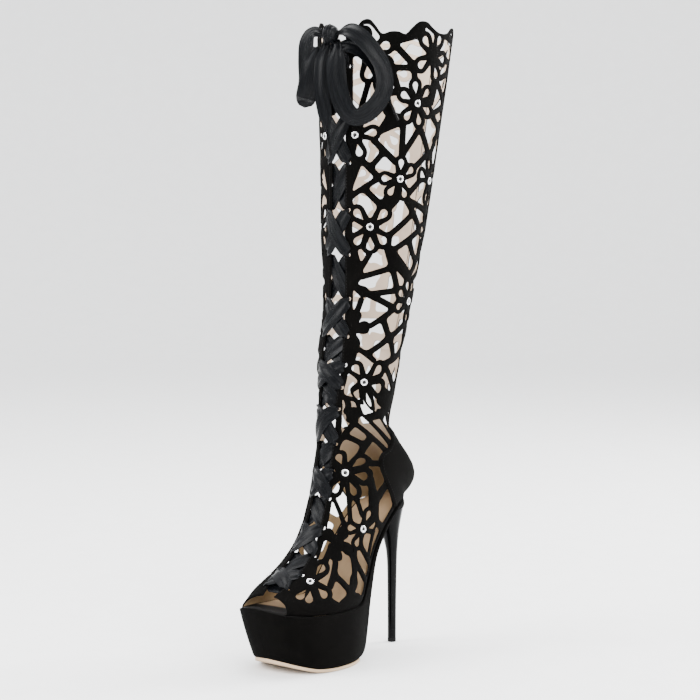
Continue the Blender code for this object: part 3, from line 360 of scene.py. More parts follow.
def piece(name, points, faces, finishes, kinds=None, *, slot, sharp=38.0, sheet_map=None, body=BOOT):
    """One closed object at the origin from points in millimetres, riding on its body."""
    mesh = bpy.data.meshes.new(name)
    mesh.from_pydata((np.asarray(points, float) * MM).tolist(), [], [tuple(map(int, f)) for f in faces])
    for material in finishes:
        mesh.materials.append(material)
    if kinds is not None:
        mesh.polygons.foreach_set("material_index", np.asarray(kinds, np.int32))
    if sheet_map is not None:
        corners = np.empty(len(mesh.loops), np.int32)
        mesh.loops.foreach_get("vertex_index", corners)
        mesh.uv_layers.new(name="sheet").data.foreach_set("uv", (np.asarray(sheet_map) * MM)[corners].ravel())
    shape = bmesh.new()
    shape.from_mesh(mesh)
    bmesh.ops.remove_doubles(shape, verts=shape.verts, dist=2e-6)
    bmesh.ops.recalc_face_normals(shape, faces=shape.faces)
    shape.to_mesh(mesh)
    shape.free()
    return shown(name, mesh, sharp, body)


def circle(count, radius=1.0):
    """Points round a circle, anticlockwise."""
    return [(radius * math.cos(a), radius * math.sin(a)) for a in np.arange(count) * 2 * math.pi / count]


def quarter(radius, count):
    """Steps round a rounded corner: an inset that goes to nothing, and a rise that starts from nothing."""
    return [(radius * (1 - math.sin(a)), radius * (1 - math.cos(a)))
            for a in np.linspace(0, math.pi / 2, count)]


def loft_faces(count, rings):
    """Faces of a skin through rings of `count` points, closed at both ends."""
    faces = []
    for k in range(rings - 1):
        for i in range(count):
            j = (i + 1) % count
            faces.append((k * count + i, k * count + j, (k + 1) * count + j, (k + 1) * count + i))
    return faces + [tuple(range(count))[::-1], tuple(range((rings - 1) * count, rings * count))]


def loft(name, rings, finishes, **more):
    return piece(name, np.vstack(rings), loft_faces(len(rings[0]), len(rings)), finishes, **more)


# %% [markdown]
# ## Satin ribbon
# The laces are flat satin ribbon about 16 mm wide. Ribbon bends easily across its face and hardly at all
# edgewise, so it could be made as a curve with a flat profile, but then nobody could gather it. Here a
# section with a few soft folds runs along the middle line. Where the ribbon is gathered, at an eyelet, at
# the knot or at its tip, the section gets narrower and the folds get deeper.

# %% ribbon
RIBBON_THICK = 0.5
RIBBON_ACROSS = 15              # points across the ribbon
FOLDS = 1.7                     # half waves across the ribbon
FOLD_WANDER = ((0.8, 17.0, 0.0), (0.5, 7.3, 1.0))       # how the folds drift: how far, over what, from where
FLATTER_EDGE, EDGE_CURL = 0.35, 0.05


def unit(vectors):
    return vectors / np.linalg.norm(vectors, axis=-1, keepdims=True)


def run_along(line):
    """Length of a line from its start to each of its points."""
    return np.r_[0, np.cumsum(np.linalg.norm(np.diff(line, axis=0), axis=1))]


def ribbon(name, middle, facing, half, ripple, **more):
    """A band along its middle line. Facing is the way its face looks, half its half width at each row."""
    tangent = unit(np.gradient(middle, axis=0))
    normal = unit(facing - (facing * tangent).sum(1, keepdims=True) * tangent)
    across = np.cross(normal, tangent)
    run = run_along(middle)
    u = np.linspace(-1, 1, RIBBON_ACROSS)
    wander = sum(much * np.sin(run / over + shift) for much, over, shift in FOLD_WANDER)
    fold = np.sin(FOLDS * math.pi * u + wander[:, None]) * ripple[:, None] * (1 - FLATTER_EDGE * u**2)
    fold = fold - EDGE_CURL * (half[:, None] * u**2)
    grid = middle[:, None] + across[:, None] * (half[:, None] * u)[..., None]
    grid = grid + normal[:, None] * fold[..., None]
    way_along, way_across = np.gradient(grid, axis=0), np.gradient(grid, axis=1)
    out = unit(np.cross(way_across, way_along))
    out = out * np.sign((out * normal[:, None]).sum(-1, keepdims=True) + 1e-9)
    rows, count = grid.shape[:2]
    points = np.vstack([(grid + out * lift).reshape(-1, 3) for lift in (RIBBON_THICK / 2, -RIBBON_THICK / 2)])
    flat = np.stack([half[:, None] * u, run[:, None] + 0 * u], -1).reshape(-1, 2)
    size = rows * count
    faces = []
    for r in range(rows - 1):
        for c in range(count - 1):
            a = r * count + c
            faces.append((a, a + 1, a + count + 1, a + count))
            faces.append((a + size, a + size + count, a + size + count + 1, a + size + 1))
        for a, turn in ((r * count, 1), (r * count + count - 1, -1)):
            faces.append((a, a + count, a + count + size, a + size)[::turn])
    for c in range(count - 1):
        for a, turn in ((c, -1), ((rows - 1) * count + c, 1)):
            faces.append((a, a + 1, a + 1 + size, a + size)[::turn])
    return piece(name, points, faces, [SATIN], sheet_map=np.vstack([flat, flat]),
                 slot="charcoal_satin", **more)


# %% [markdown]
# ## The bow
# One lace is tied in a bow at the collar: a knot, two drooping loops and two tails that end in thin
# aglets. Loops and tails are cords of the frame, so each follows the same route as its solid in the
# frame, and each row adds which way the ribbon's face looks. A cloth simulation would settle somewhere
# else at each change, so the folds are set one by one and stay where a shop display has them.

# %% routes of loops and tails, in metres, with the way the ribbon faces
Pin = namedtuple("Pin", "x y z face_x face_y face_z")
BOW = {
    "loop_outer": (
        Pin(0.0087, 0.0198, 0.586, 0.45, -0.70, 0.55), Pin(0.023, 0.0195, 0.588, 0.50, -0.68, 0.54),
        Pin(0.037, 0.026, 0.578, 0.66, -0.60, 0.45), Pin(0.048, 0.037, 0.556, 0.86, -0.42, 0.28),
        Pin(0.0495, 0.039, 0.533, 0.90, -0.38, -0.10), Pin(0.041, 0.030, 0.514, 0.66, -0.62, -0.42),
        Pin(0.029, 0.020, 0.508, 0.55, -0.68, -0.48), Pin(0.020, 0.013, 0.522, 0.56, -0.78, -0.28),
        Pin(0.0145, 0.0115, 0.550, 0.58, -0.81, -0.05), Pin(0.0125, 0.0165, 0.575, 0.56, -0.83, 0.0),
    ),
    "loop_inner": (
        Pin(-0.0087, 0.0205, 0.586, 0.10, -0.80, 0.60), Pin(-0.018, 0.0165, 0.588, 0.10, -0.85, 0.50),
        Pin(-0.026, 0.016, 0.579, 0.10, -0.96, 0.28), Pin(-0.0295, 0.019, 0.562, 0.15, -0.98, 0.10),
        Pin(-0.0295, 0.020, 0.545, 0.20, -0.96, -0.10), Pin(-0.027, 0.015, 0.530, 0.45, -0.75, -0.40),
        Pin(-0.021, 0.0095, 0.526, 0.60, -0.65, -0.40), Pin(-0.0155, 0.007, 0.538, 0.55, -0.80, -0.10),
        Pin(-0.012, 0.0085, 0.557, 0.45, -0.88, 0.0), Pin(-0.0123, 0.016, 0.574, 0.40, -0.90, 0.0),
    ),
    "end_outer": (
        Pin(0.0034, 0.0195, 0.5772, 0.20, -0.95, 0.20), Pin(0.008, 0.021, 0.5725, 0.35, -0.90, 0.25),
        Pin(0.018, 0.0245, 0.574, 0.45, -0.80, 0.40), Pin(0.030, 0.031, 0.568, 0.58, -0.70, 0.42),
        Pin(0.039, 0.039, 0.555, 0.74, -0.62, 0.26), Pin(0.0435, 0.0445, 0.538, 0.78, -0.60, 0.14),
        Pin(0.0485, 0.051, 0.519, 0.80, -0.58, 0.10),
    ),
    "end_inner": (
        Pin(-0.0034, 0.0205, 0.5772, 0.20, -0.95, 0.20), Pin(-0.004, 0.018, 0.571, 0.30, -0.94, 0.15),
        Pin(-0.004, 0.012, 0.558, 0.42, -0.90, 0.05), Pin(-0.001, 0.0085, 0.532, 0.50, -0.86, 0.0),
        Pin(0.002, 0.011, 0.508, 0.45, -0.88, -0.05), Pin(0.003, 0.014, 0.488, 0.40, -0.90, -0.05),
    ),
}
RIBBON_WIDTH, TAIL_WIDTH = 0.018, 0.0135
GATHERED = 3.6                  # half width at the knot, millimetres
OPENS_OVER, TAIL_CLOSES_OVER = 18, 26                   # millimetres from gathered to full width
RIPPLE_FLAT, RIPPLE_KNOT, RIPPLE_END, RIPPLE_TIP = 0.28, 0.9, 0.8, 0.4
AGLET_LENGTH, AGLET_RADIUS = 15.0, 1.3
AGLET = ((0.9, 0.0), (1.0, 0.05), (1.0, 0.30), (0.9, 0.33), (1.0, 0.36), (1.0, 0.93), (0.8, 1.0))

# %% knot
KNOT_MIDDLE, KNOT_HALF = (0, 19.8, 585), (8.6, 6.4, 8.9)
KNOT_COLUMNS, KNOT_TURNS = 40, 48
KNOT_SQUARE = 2.6               # how late the knot's ends round off
PLEAT_DEEP, PLEATS = 0.075, 5.2
SLUMPS = ((0.05, 2, 2.4), (0.03, 5, 7))                 # how far, waves round, and shift along
KNOT_LEAN = 0.06
KNOT_MAP = (22, 50)             # its cloth laid flat, along and round


def make_knot():
    """A short band wrapped round the middle, its pleats running over the front."""
    wide, deep, tall = KNOT_HALF
    rings = []
    for t in np.linspace(-1, 1, KNOT_COLUMNS):
        round_off = max(1 - abs(t) ** KNOT_SQUARE, 0.0) ** 0.5
        pleat = 1 + PLEAT_DEEP * math.cos(PLEATS * math.pi * t) * round_off
        ring = []
        for a in np.arange(KNOT_TURNS) * 2 * math.pi / KNOT_TURNS:
            slump = 1 + sum(far * math.sin(waves * a + shift * t) for far, waves, shift in SLUMPS)
            reach = round_off * pleat * slump
            ring.append((t * wide * (1 - KNOT_LEAN * math.cos(a)), -deep * reach * math.cos(a),
                         tall * reach * math.sin(a)))
        rings.append(np.array(ring) + KNOT_MIDDLE)
    flat = [(column / KNOT_COLUMNS * KNOT_MAP[0], turn / KNOT_TURNS * KNOT_MAP[1])
            for column in range(KNOT_COLUMNS) for turn in range(KNOT_TURNS)]
    made = loft("satin_knot", rings, [SATIN], sheet_map=flat, slot="charcoal_satin")
    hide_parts("bow_knot")
    return made


knot = make_knot()


# %% loops and tails
def make_aglet(name, start, way):
    """The thin tube that holds the gathered tip of the ribbon."""
    turn = Vector(way).to_track_quat("Z", "Y").to_matrix()
    rings = []
    for wide, far in AGLET:
        ring = circle(16, AGLET_RADIUS * wide)
        rings.append([start + np.array(turn @ Vector((x, y, AGLET_LENGTH * far))) for x, y in ring])
    return loft(name, rings, [LACQUER], slot="charcoal_satin")


def make_bow():
    for name, pins in BOW.items():
        rows = smooth_rows(pins, 10)
        middle, facing = rows[:, :3] / MM, rows[:, 3:]
        run = run_along(middle)
        length = run[-1]
        tail = name.startswith("end")
        width = TAIL_WIDTH if tail else RIBBON_WIDTH
        open_out = soft_step(run, 0, OPENS_OVER)
        close_up = soft_step(length - run, 0, TAIL_CLOSES_OVER if tail else OPENS_OVER)
        half = GATHERED + (width / MM / 2 - GATHERED) * open_out
        tip = AGLET_RADIUS * AGLET[-1][0] if tail else GATHERED
        half = tip + (half - tip) * close_up
        at_end = RIPPLE_END * (1 - close_up) * (RIPPLE_TIP if tail else 1)
        ripple = RIPPLE_FLAT + RIPPLE_KNOT * (1 - open_out) + at_end
        made = ribbon(f"satin_{name}", middle, facing, half, ripple)
        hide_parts(name)
        extra = [knot] if name == "loop_outer" else []
        if tail:
            extra.append(make_aglet(f"aglet_{name}", middle[-1], middle[-1] - middle[-3]))
        print(f"{name}: {length:.0f} mm of ribbon")


make_bow()

# %% [markdown]
# ## The last
# A shoemaker shapes the upper over a last, so the same sections carry everything that touches the leather.
# Each row of the table is one fan section through the foot or the leg, from the ridge under the lacing to
# the sole's edge, and above the heel to the back seam. A half turn of an ellipse, leaning by `widest`,
# joins the two. A flat chart, as wide as the half girth and as tall as the side, carries the pattern.

# %% sections
Section = namedtuple("Section", "name front_y front_z back_y back_z edge_half half widest gap")
UPPER = [Section(*row) for row in (
    ("peep", -64, 72, -70, 57.4, 27, 28, 0.80, 5),
    ("toe", -50, 83, -50, 55, 37, 38.5, 0.80, 8),
    ("vamp", -35, 93, -26, 54, 42, 43, 0.78, 10),
    ("ball", -21, 106, -2, 54, 41, 43, 0.76, 11),
    ("instep", -9, 125, 22, 57, 36, 39, 0.72, 12),
    ("waist", 0, 148, 37, 76, 31, 35, 0.68, 12),
    ("arch", 6, 170, 50, 100, 28, 33, 0.64, 12),
    ("shank", 9, 190, 66, 121, 27, 32.5, 0.60, 13),
    ("seat_front", 10.5, 206, 88, 140, 25, 32, 0.57, 15),
    ("seat", 11, 219, 104, 144, 18, 32.5, 0.54, 17),
    ("seat_back", 11.5, 229, 113, 145.8, 8, 33, 0.52, 18),
    ("heel_low", 12, 238, 125.5, 151.5, 0, 33, 0.51, 18),
    ("heel", 13, 247, 130.5, 163, 0, 32.5, 0.50, 17.5),
    ("heel_top", 14, 256, 111, 184, 0, 30.8, 0.50, 17),
    ("tendon", 15.5, 266, 91.5, 209, 0, 31, 0.50, 16),
    ("ankle", 18, 280, 96, 245, 0, 35.5, 0.50, 14.5),
    ("above_ankle", 22, 300, 104, 285, 0, 38.5, 0.50, 12.5),
    ("shin", 27, 328, 116, 322, 0, 40, 0.50, 11),
    ("low_calf", 29, 362, 125, 360, 0, 43, 0.50, 10),
    ("calf", 28.5, 400, 134.6, 400, 0, 47.4, 0.50, 9.5),
    ("mid_calf", 30, 450, 144.5, 450, 0, 51.5, 0.50, 9.5),
    ("high_calf", 30, 500, 153.7, 500, 0, 55.3, 0.50, 9.5),
    ("top_calf", 30, 550, 163, 550, 0, 59.3, 0.50, 9.5),
    ("collar", 30.5, 602, 172, 602, 0, 63, 0.50, 9.5),
)]
TOE_CURVE, TOE_CURVE_FROM, TOE_CURVE_LENGTH = 3.0, 10.0, 90.0
UPPER_ROWS = np.array([row[1:] for row in UPPER], float)
LAST_ROW = len(UPPER) - 1


def toe_curve(y):
    """Sideways shift of the centre line: the toe of a left boot turns toward the inner side."""
    return -TOE_CURVE * np.clip((TOE_CURVE_FROM - y) / TOE_CURVE_LENGTH, 0, 1) ** 2


def fan_point(row, around):
    """Outer face of the upper: `around` runs from the ridge (0) to the sole edge or back seam (1)."""
    fy, fz, by, bz, edge, half, widest, _ = np.moveaxis(through(UPPER_ROWS, row), -1, 0)
    edge = np.clip(edge, 0, half * 0.999)
    end = math.pi - np.arcsin(edge / half)
    angle = around * end

    def along(turn):
        rest = np.where(turn < math.pi / 2, widest, 1 - widest)
        return widest - rest * np.cos(turn)

    share = along(angle) / along(end)
    return np.stack([half * np.sin(angle), fy + (by - fy) * share, fz + (bz - fz) * share], -1)


def measure_chart():
    """Height along the side and half girth for each row: the flat chart that the pattern is drawn on."""
    rows = np.linspace(0, LAST_ROW, 1501)
    middle = fan_point(rows, np.full(rows.shape, 0.5))
    up = run_along(middle)
    around = np.linspace(0, 1, 61)
    across = fan_point(rows[:, None] + 0 * around, around + 0 * rows[:, None])
    girth = np.linalg.norm(np.diff(across, axis=1), axis=2).sum(1)
    return rows, up, girth, through(UPPER_ROWS, rows)[:, 7]


CHART_ROWS, CHART_UP, CHART_GIRTH, CHART_GAP = measure_chart()
TOP = CHART_UP[-1]
print(f"chart: {TOP:.0f} mm up, half girth {CHART_GIRTH.min():.0f} to {CHART_GIRTH.max():.0f} mm")


# %% [markdown]
# ## Creases
# Suede this soft buckles a little where the ankle bends. Each crease is a short line on the chart with a
# width and a depth: the leather sinks along it and rises softly on both sides.

# %% the chart's functions, with creases
Crease = namedtuple("Crease", "from_around from_up to_around to_up wide deep")
CREASES = [Crease(*row) for row in (
    (0.10, 236, 0.46, 250, 5.0, 0.9),
    (0.12, 262, 0.52, 272, 6.0, 1.1),
    (0.10, 290, 0.44, 292, 6.5, 0.9),
    (0.50, 300, 0.88, 318, 7.0, 0.8),
    (0.14, 330, 0.60, 322, 8.0, 0.7),
    (0.10, 178, 0.40, 190, 5.0, 0.6),
    (0.30, 395, 0.80, 408, 11.0, 0.8),
    (0.20, 500, 0.66, 492, 13.0, 0.7),
)]


CREASE_RIDGE, RIDGE_AWAY, CREASE_SOFT = 0.45, 1.5, 2    # the soft rise beside a crease
CREASE_END, CREASE_FADE = 0.04, 0.7                     # how it fades toward its ends
PROBE, FINE_PROBE = 0.5, 2e-3           # steps that find a direction, in millimetres and in rows


def half_girth(up):
    return np.interp(up, CHART_UP, CHART_GIRTH)


def throat_gap(up):
    return np.interp(up, CHART_UP, CHART_GAP)


def chart(around, up):
    """Chart place of a point given by its share of the way round: x from mid-side, y up the boot."""
    return np.array([(around - 0.5) * half_girth(up), up])


def crease_height(x, up):
    """How far the leather rises or sinks at chart places."""
    height = np.zeros(np.broadcast(x, up).shape)
    for crease in CREASES:
        start, end = chart(crease.from_around, crease.from_up), chart(crease.to_around, crease.to_up)
        along = end - start
        share = np.clip(((x - start[0]) * along[0] + (up - start[1]) * along[1]) / (along @ along), 0, 1)
        away = np.hypot(x - start[0] - share * along[0], up - start[1] - share * along[1]) / crease.wide
        fade = np.sin(math.pi * np.clip(share, CREASE_END, 1 - CREASE_END)) ** CREASE_FADE
        ridges = CREASE_RIDGE * np.exp(-((away - RIDGE_AWAY) ** 2) * CREASE_SOFT)
        height = height + crease.deep * fade * (ridges - np.exp(-(away**2) * CREASE_SOFT))
    return height


def skin(places, side, out):
    """Points at chart places, `out` mm outside the outer face (negative is inside)."""
    x, up = np.moveaxis(np.asarray(places, float), -1, 0)
    row = np.interp(up, CHART_UP, CHART_ROWS)
    around = x / half_girth(up) + 0.5
    point = fan_point(row, around)
    turn = fan_point(row, around + FINE_PROBE) - fan_point(row, around - FINE_PROBE)
    rise = fan_point(row + FINE_PROBE, around) - fan_point(row - FINE_PROBE, around)
    point = point + unit(np.cross(turn, rise)) * np.asarray(out, float)[..., None]
    point[..., 0] = point[..., 0] * side + toe_curve(point[..., 1])
    return point


def creased(places, side, out):
    """Points on the leather with its creases."""
    x, up = np.moveaxis(np.asarray(places, float), -1, 0)
    return skin(places, side, np.asarray(out, float) + crease_height(x, up))


def local_frame(place):
    """Chart steps for one millimetre toward the back and one millimetre up, at this place."""
    dx, dy = [(skin(place + step, 1, 0) - skin(place - step, 1, 0)) / (2 * PROBE)
              for step in np.eye(2) * PROBE]
    rise = dy / np.linalg.norm(dy)
    back = dx - rise * (dx @ rise)
    back /= np.linalg.norm(back)
    to_mm = np.array([[dx @ back, dy @ back], [dx @ rise, dy @ rise]])
    return np.linalg.inv(to_mm).T


def border_places(up):
    """Chart x of the throat edge and of the back edge at a height."""
    return throat_gap(up) - half_girth(up) / 2, half_girth(up) / 2


def throat_line(ups, into=0.0):
    """Chart places beside the throat edge, as far into the leather as is given."""
    return [(border_places(u)[0] + into, u) for u in ups]


def back_line(ups, into=0.0):
    """Chart places beside the back edge, as far into the leather as is given."""
    return [(border_places(u)[1] - into, u) for u in ups]


def chart_up(name):
    """Height along the chart of a named section."""
    row = [section.name for section in UPPER].index(name)
    return float(np.interp(row, CHART_ROWS, CHART_UP))


print("creases:", len(CREASES))

# %% [markdown]
# ## The cut-out pattern
# The leather is cut in flowers joined by bars. A laser cuts the real one from a flat pattern, and this
# cell does the same: petals, discs, bars and border bands are outlines on the flat chart, a constrained
# triangulation joins them, and what they leave free are the openings. Petal tips send out the bars, the
# nearest tips being joined first, and an opening that is still too large gets one more bar across it.

# %% sizes and flowers of the pattern
STROKE = 6.0                    # width of a cut-out bar
LEAST_OPENING = 34.0            # openings with less area than this stay solid
MOST_OPENING = 470.0            # openings with more area than this get a bar across
BRACE_ROUNDS = 3
LEAST_SLOTTED = 22.0            # reach from which a flower's petals are slotted
WALL = 1.6
THROAT_BAND, BACK_BAND, PEEP_BAND, COLLAR_BAND = 8.0, 8.5, 9.0, 4.6
SLIT_HALF, ZIP_FOOT = 2.6, 316.0
EYELET = 4.0
COUNTER_LIFT = 3.6
Flower = namedtuple("Flower", "name around up reach petals stud")
FLOWERS = [Flower(*row) for row in (
    ("toe", 0.36, 35, 27, (103, 11, -38, -66, -95, -124, -157), True),
    ("ball", 0.74, 66, 20, (35, 110, -70), False),
    ("joint", 0.36, 84, 18, (70, 0, -70, 150), False),
    ("waist", 0.62, 123, 22, (76, 20, -102, -169), True),
    ("instep", 0.31, 149, 25, (55, 8, -48, -112, 125, 172), True),
    ("side", 0.19, 210, 15, (70, 0, -50), False),
    ("tendon", 0.62, 259, 20, (141, 80, -150, 20), False),
    ("ankle", 0.33, 266, 25, (136, 48, -5, -62, -118), True),
    ("zip_low", 0.84, 306, 21, (100, 165, -120, -50), False),
    ("shin", 0.14, 324, 19, (80, 20, -60), False),
    ("calf_back", 0.60, 355, 23, (156, 110, -156, -75, 25), True),
    ("shin_edge", 0.13, 369, 17, (75, -20), False),
    ("zip_calf", 0.88, 382, 20, (85, 165, -110), False),
    ("calf", 0.22, 426, 26, (143, 52, -37, -80, -124), True),
    ("calf_rear", 0.72, 422, 23, (60, 125, 178, -120, -55), False),
    ("mid", 0.37, 471, 22, (91, 40, -60, -175, -120), True),
    ("mid_rear", 0.61, 470, 23, (163, 100, 40, -20, -90), True),
    ("zip_mid", 0.88, 459, 20, (100, 165, -110), False),
    ("edge_high", 0.11, 512, 24, (85, 14, -70), True),
    ("bow_side", 0.24, 545, 17, (110, -140, -50), False),
    ("high", 0.43, 542, 24, (160, 105, 45, -18, -72, -125), True),
    ("zip_high", 0.78, 524, 25, (75, 20, 130, -170, -115, -50), False),
    ("collar_front", 0.16, 587, 27, (108, 31, -22, -80, 165), False),
    ("collar_side", 0.50, 587, 26, (134, 65, 0, -63, -145), False),
    ("collar_back", 0.78, 581, 25, (115, 55, -10, -75, -160), False),
)]
Scallop = namedtuple("Scallop", "around up")
COLLAR = [Scallop(*row) for row in (
    (0.0, 604), (0.08, 605), (0.105, 612), (0.13, 618), (0.165, 619),
    (0.195, 613), (0.225, 606), (0.265, 608), (0.30, 608), (0.335, 606),
    (0.365, 612), (0.40, 618), (0.44, 618), (0.48, 613), (0.53, 609),
    (0.60, 610), (0.64, 615), (0.68, 616), (0.73, 610), (0.78, 609),
    (0.83, 615), (0.87, 615), (0.92, 610), (1.0, 608),
)]
# Width of the solid band along the sole, from the peep edge up: broad round the toes.
Band = namedtuple("Band", "up width")
SOLE_BAND = (Band(0, 17), Band(35, 16), Band(75, 10), Band(110, 7), Band(150, 6))
# Front and top edge of the heel counter, from the back seam round to the sole.
COUNTER = [Scallop(*row) for row in (
    (1.0, 259), (0.86, 256), (0.74, 250), (0.62, 239), (0.54, 227),
    (0.49, 213), (0.475, 198), (0.50, 187), (0.58, 178), (0.70, 172),
    (0.85, 168), (1.0, 166),
)]
EYELETS = (14, 36, 60, 86, 114, 142, 172, 207, 243, 279, 316, 356, 399, 442, 486, 531, 576)


# %% flat cutting
def loop_area(outline):
    """Area inside a closed outline, negative where it runs clockwise, as around an opening."""
    x, y = outline.T
    return (x @ np.roll(y, -1) - y @ np.roll(x, -1)) / 2


def anticlockwise(outline):
    outline = np.array(outline, float)
    return outline if loop_area(outline) > 0 else outline[::-1]


def cut(solids, holes, extra=()):
    """Flat points and triangles, with which lie in a solid outline and which in a hole."""
    points, faces = [], []
    for outline in list(solids) + list(holes):
        faces.append(list(range(len(points), len(points) + len(outline))))
        points.extend(Vector((float(x), float(y))) for x, y in anticlockwise(outline))
    points.extend(Vector((float(x), float(y))) for x, y in extra)
    flat, _, triangles, _, _, sources = delaunay_2d_cdt(points, [], faces, 0, 1e-3, True)
    solid = np.array([bool(s) and max(s) < len(solids) for s in sources])
    holed = np.array([bool(s) and max(s) >= len(solids) for s in sources])
    return np.array([tuple(p) for p in flat]), np.array([list(t) for t in triangles]), solid, holed


def doubled_areas(flat, triangles):
    """Twice the area of each triangle, negative where it runs clockwise."""
    a, b, c = np.moveaxis(flat[triangles], 1, 0)
    return np.cross(b - a, c - a)


def orient(flat, triangles):
    """The triangles that have an area, all anticlockwise."""
    turn = doubled_areas(flat, triangles)
    triangles, turn = triangles[np.abs(turn) > 1e-9], turn[np.abs(turn) > 1e-9]
    return np.where((turn < 0)[:, None], triangles[:, ::-1], triangles)


def rim_of(triangles):
    """Edges that only one triangle has, each in the direction in which that triangle runs."""
    directed = {(t[i], t[(i + 1) % 3]) for t in triangles.tolist() for i in range(3)}
    return [(a, b) for a, b in sorted(directed) if (b, a) not in directed]


def fill_specks(flat, triangles, solid, holed):
    """Openings between bars that are too small to cut are left solid."""
    edge_of = {}
    for number, (a, b, c) in enumerate(triangles):
        for edge in ((a, b), (b, c), (c, a)):
            edge_of.setdefault(tuple(sorted(edge)), []).append(number)
    neighbours = [[] for _ in triangles]
    for pair in edge_of.values():
        if len(pair) == 2:
            neighbours[pair[0]].append(pair[1])
            neighbours[pair[1]].append(pair[0])
    area = np.abs(doubled_areas(flat, triangles)) / 2
    seen = solid.copy()
    for start in range(len(triangles)):
        if seen[start]:
            continue
        group, queue = [], [start]
        seen[start] = True
        while queue:
            here = queue.pop()
            group.append(here)
            for other in neighbours[here]:
                if not seen[other]:
                    seen[other] = True
                    queue.append(other)
        if area[group].sum() < LEAST_OPENING and not holed[group].any():
            solid[group] = True
    return solid


def leather_left(solids, holes):
    flat, triangles, solid, holed = cut(solids, holes)
    return flat, triangles[fill_specks(flat, triangles, solid, holed)]


def loops_of(triangles):
    """Boundary loops of a set of triangles, as lists of point numbers."""
    follow = dict(rim_of(triangles))
    loops = []
    while follow:
        start, here = follow.popitem()
        loop = [start]
        while here != start:
            loop.append(here)
            here = follow.pop(here)
        loops.append(loop)
    return loops


def thin_out(outline, slack):
    """The outline with points dropped that lie within `slack` of the straight line between the rest."""
    start = int(np.argmax(outline[:, 0] + outline[:, 1]))
    outline = np.roll(outline, -start, axis=0)
    closed = np.vstack([outline, outline[:1]])

    def split(first, last):
        line = closed[last] - closed[first]
        length = np.linalg.norm(line)
        rest = closed[first + 1 : last] - closed[first]
        if not len(rest):
            return []
        away = np.abs(np.cross(line, rest)) / length if length > 0 else np.linalg.norm(rest, axis=1)
        far = int(np.argmax(away))
        if away[far] < slack:
            return []
        middle = first + 1 + far
        return split(first, middle) + [middle] + split(middle, last)

    middle = int(np.argmax(np.linalg.norm(closed - closed[0], axis=1)))
    keep = [0] + split(0, middle) + [middle] + split(middle, len(closed) - 1)
    return closed[keep]


def crosses(a, b, c, d):
    """Whether segments ab and cd cross between their ends."""

    def turn(p, q, r):
        return (q[0] - p[0]) * (r[1] - p[1]) - (q[1] - p[1]) * (r[0] - p[0])

    return turn(a, b, c) * turn(a, b, d) < 0 and turn(c, d, a) * turn(c, d, b) < 0


def inside(edges, place):
    """Whether a place lies within closed edges."""
    hits = [p[0] + (q[0] - p[0]) * (place[1] - p[1]) / (q[1] - p[1]) > place[0]
            for p, q in edges if (p[1] > place[1]) != (q[1] > place[1])]
    return sum(hits) % 2 == 1


def bar(start, end):
    along = unit(end - start)
    across = np.array([-along[1], along[0]]) * STROKE / 2
    return [start + across, end + across, end - across, start - across]


def braces(flat, triangles):
    """A bar across each opening that is too large, where it is short and halves the opening best."""
    bars = []
    for loop in loops_of(orient(flat, triangles)):
        outline = flat[loop]
        area = -loop_area(outline)
        if area < MOST_OPENING:
            continue
        outline = thin_out(outline, 0.8)
        edges = list(zip(outline, np.roll(outline, -1, axis=0)))
        places = [p + (q - p) * share for p, q in edges for share in (0.0, 0.5)]
        best, least = None, np.inf
        for i, start in enumerate(places):
            for j in range(i + 2, len(places)):
                end = places[j]
                part = abs(loop_area(np.array(places[i : j + 1])))
                length = np.linalg.norm(end - start)
                score = length**2 / max(min(part, area - part), 1)
                near, far = start + (end - start) * 0.02, end + (start - end) * 0.02
                if score < least and min(part, area - part) > area / 4:
                    clear = not any(crosses(near, far, p, q) for p, q in edges)
                    if clear and inside(edges, (start + end) / 2):
                        best, least = (start, end), score
        if best is not None:
            along = unit(best[1] - best[0])
            bars.append(bar(best[0] - along * STROKE / 2, best[1] + along * STROKE / 2))
    return bars


# %% petals, bars and bands
DISC, PETAL_TIP = 0.3, 0.95             # a flower's middle, and where its bars start, as shares of its reach
PETAL = ((0.0, 0.14), (0.40, 0.24), (0.72, 0.34), (0.94, 0.24), (1.0, 0.0))     # along, and half width
SLOT_START, SLOT_END, SLOT_RADIUS = 0.36, 0.70, 0.145
RAY_NEAREST, RAY_FARTHEST = 5.0, 46.0
LONGEST_BAR, MOST_BARS, SPLAY = 40.0, 2, 36.0           # bars between tips, bars on a tip, degrees
BAR_CLEAR = 0.12                        # share of a bar at each end that may touch its own petal


def petal_outline(reach):
    return [(reach * r, reach * h) for r, h in PETAL] + [(reach * r, -reach * h) for r, h in PETAL[-2::-1]]


def placed(outline, centre, steps, degrees):
    """Outline turned by `degrees` and laid on the chart so that it keeps its true shape on the boot."""
    turn = math.radians(degrees)
    turned = np.array(outline) @ np.array(
        [[math.cos(turn), math.sin(turn)], [-math.sin(turn), math.cos(turn)]]
    )
    return centre + turned @ steps


def collar_up(around):
    return np.interp(around, *np.array(COLLAR).T)


def in_counter(around, up):
    """Whether a place lies under the heel counter."""
    if not COUNTER[-1].up < up < COUNTER[0].up:
        return False
    turn = min(COUNTER, key=lambda row: row.around)
    half = COUNTER[: COUNTER.index(turn) + 1] if up > turn.up else COUNTER[COUNTER.index(turn) :]
    rows = sorted((row.up, row.around) for row in half)
    return around > np.interp(up, *np.array(rows).T)


def edge_band(up):
    """Width of the solid band along the sole or, above the heel, along the back seam."""
    return float(np.interp(up, *np.array(SOLE_BAND).T)) if up < chart_up("heel_low") else BACK_BAND


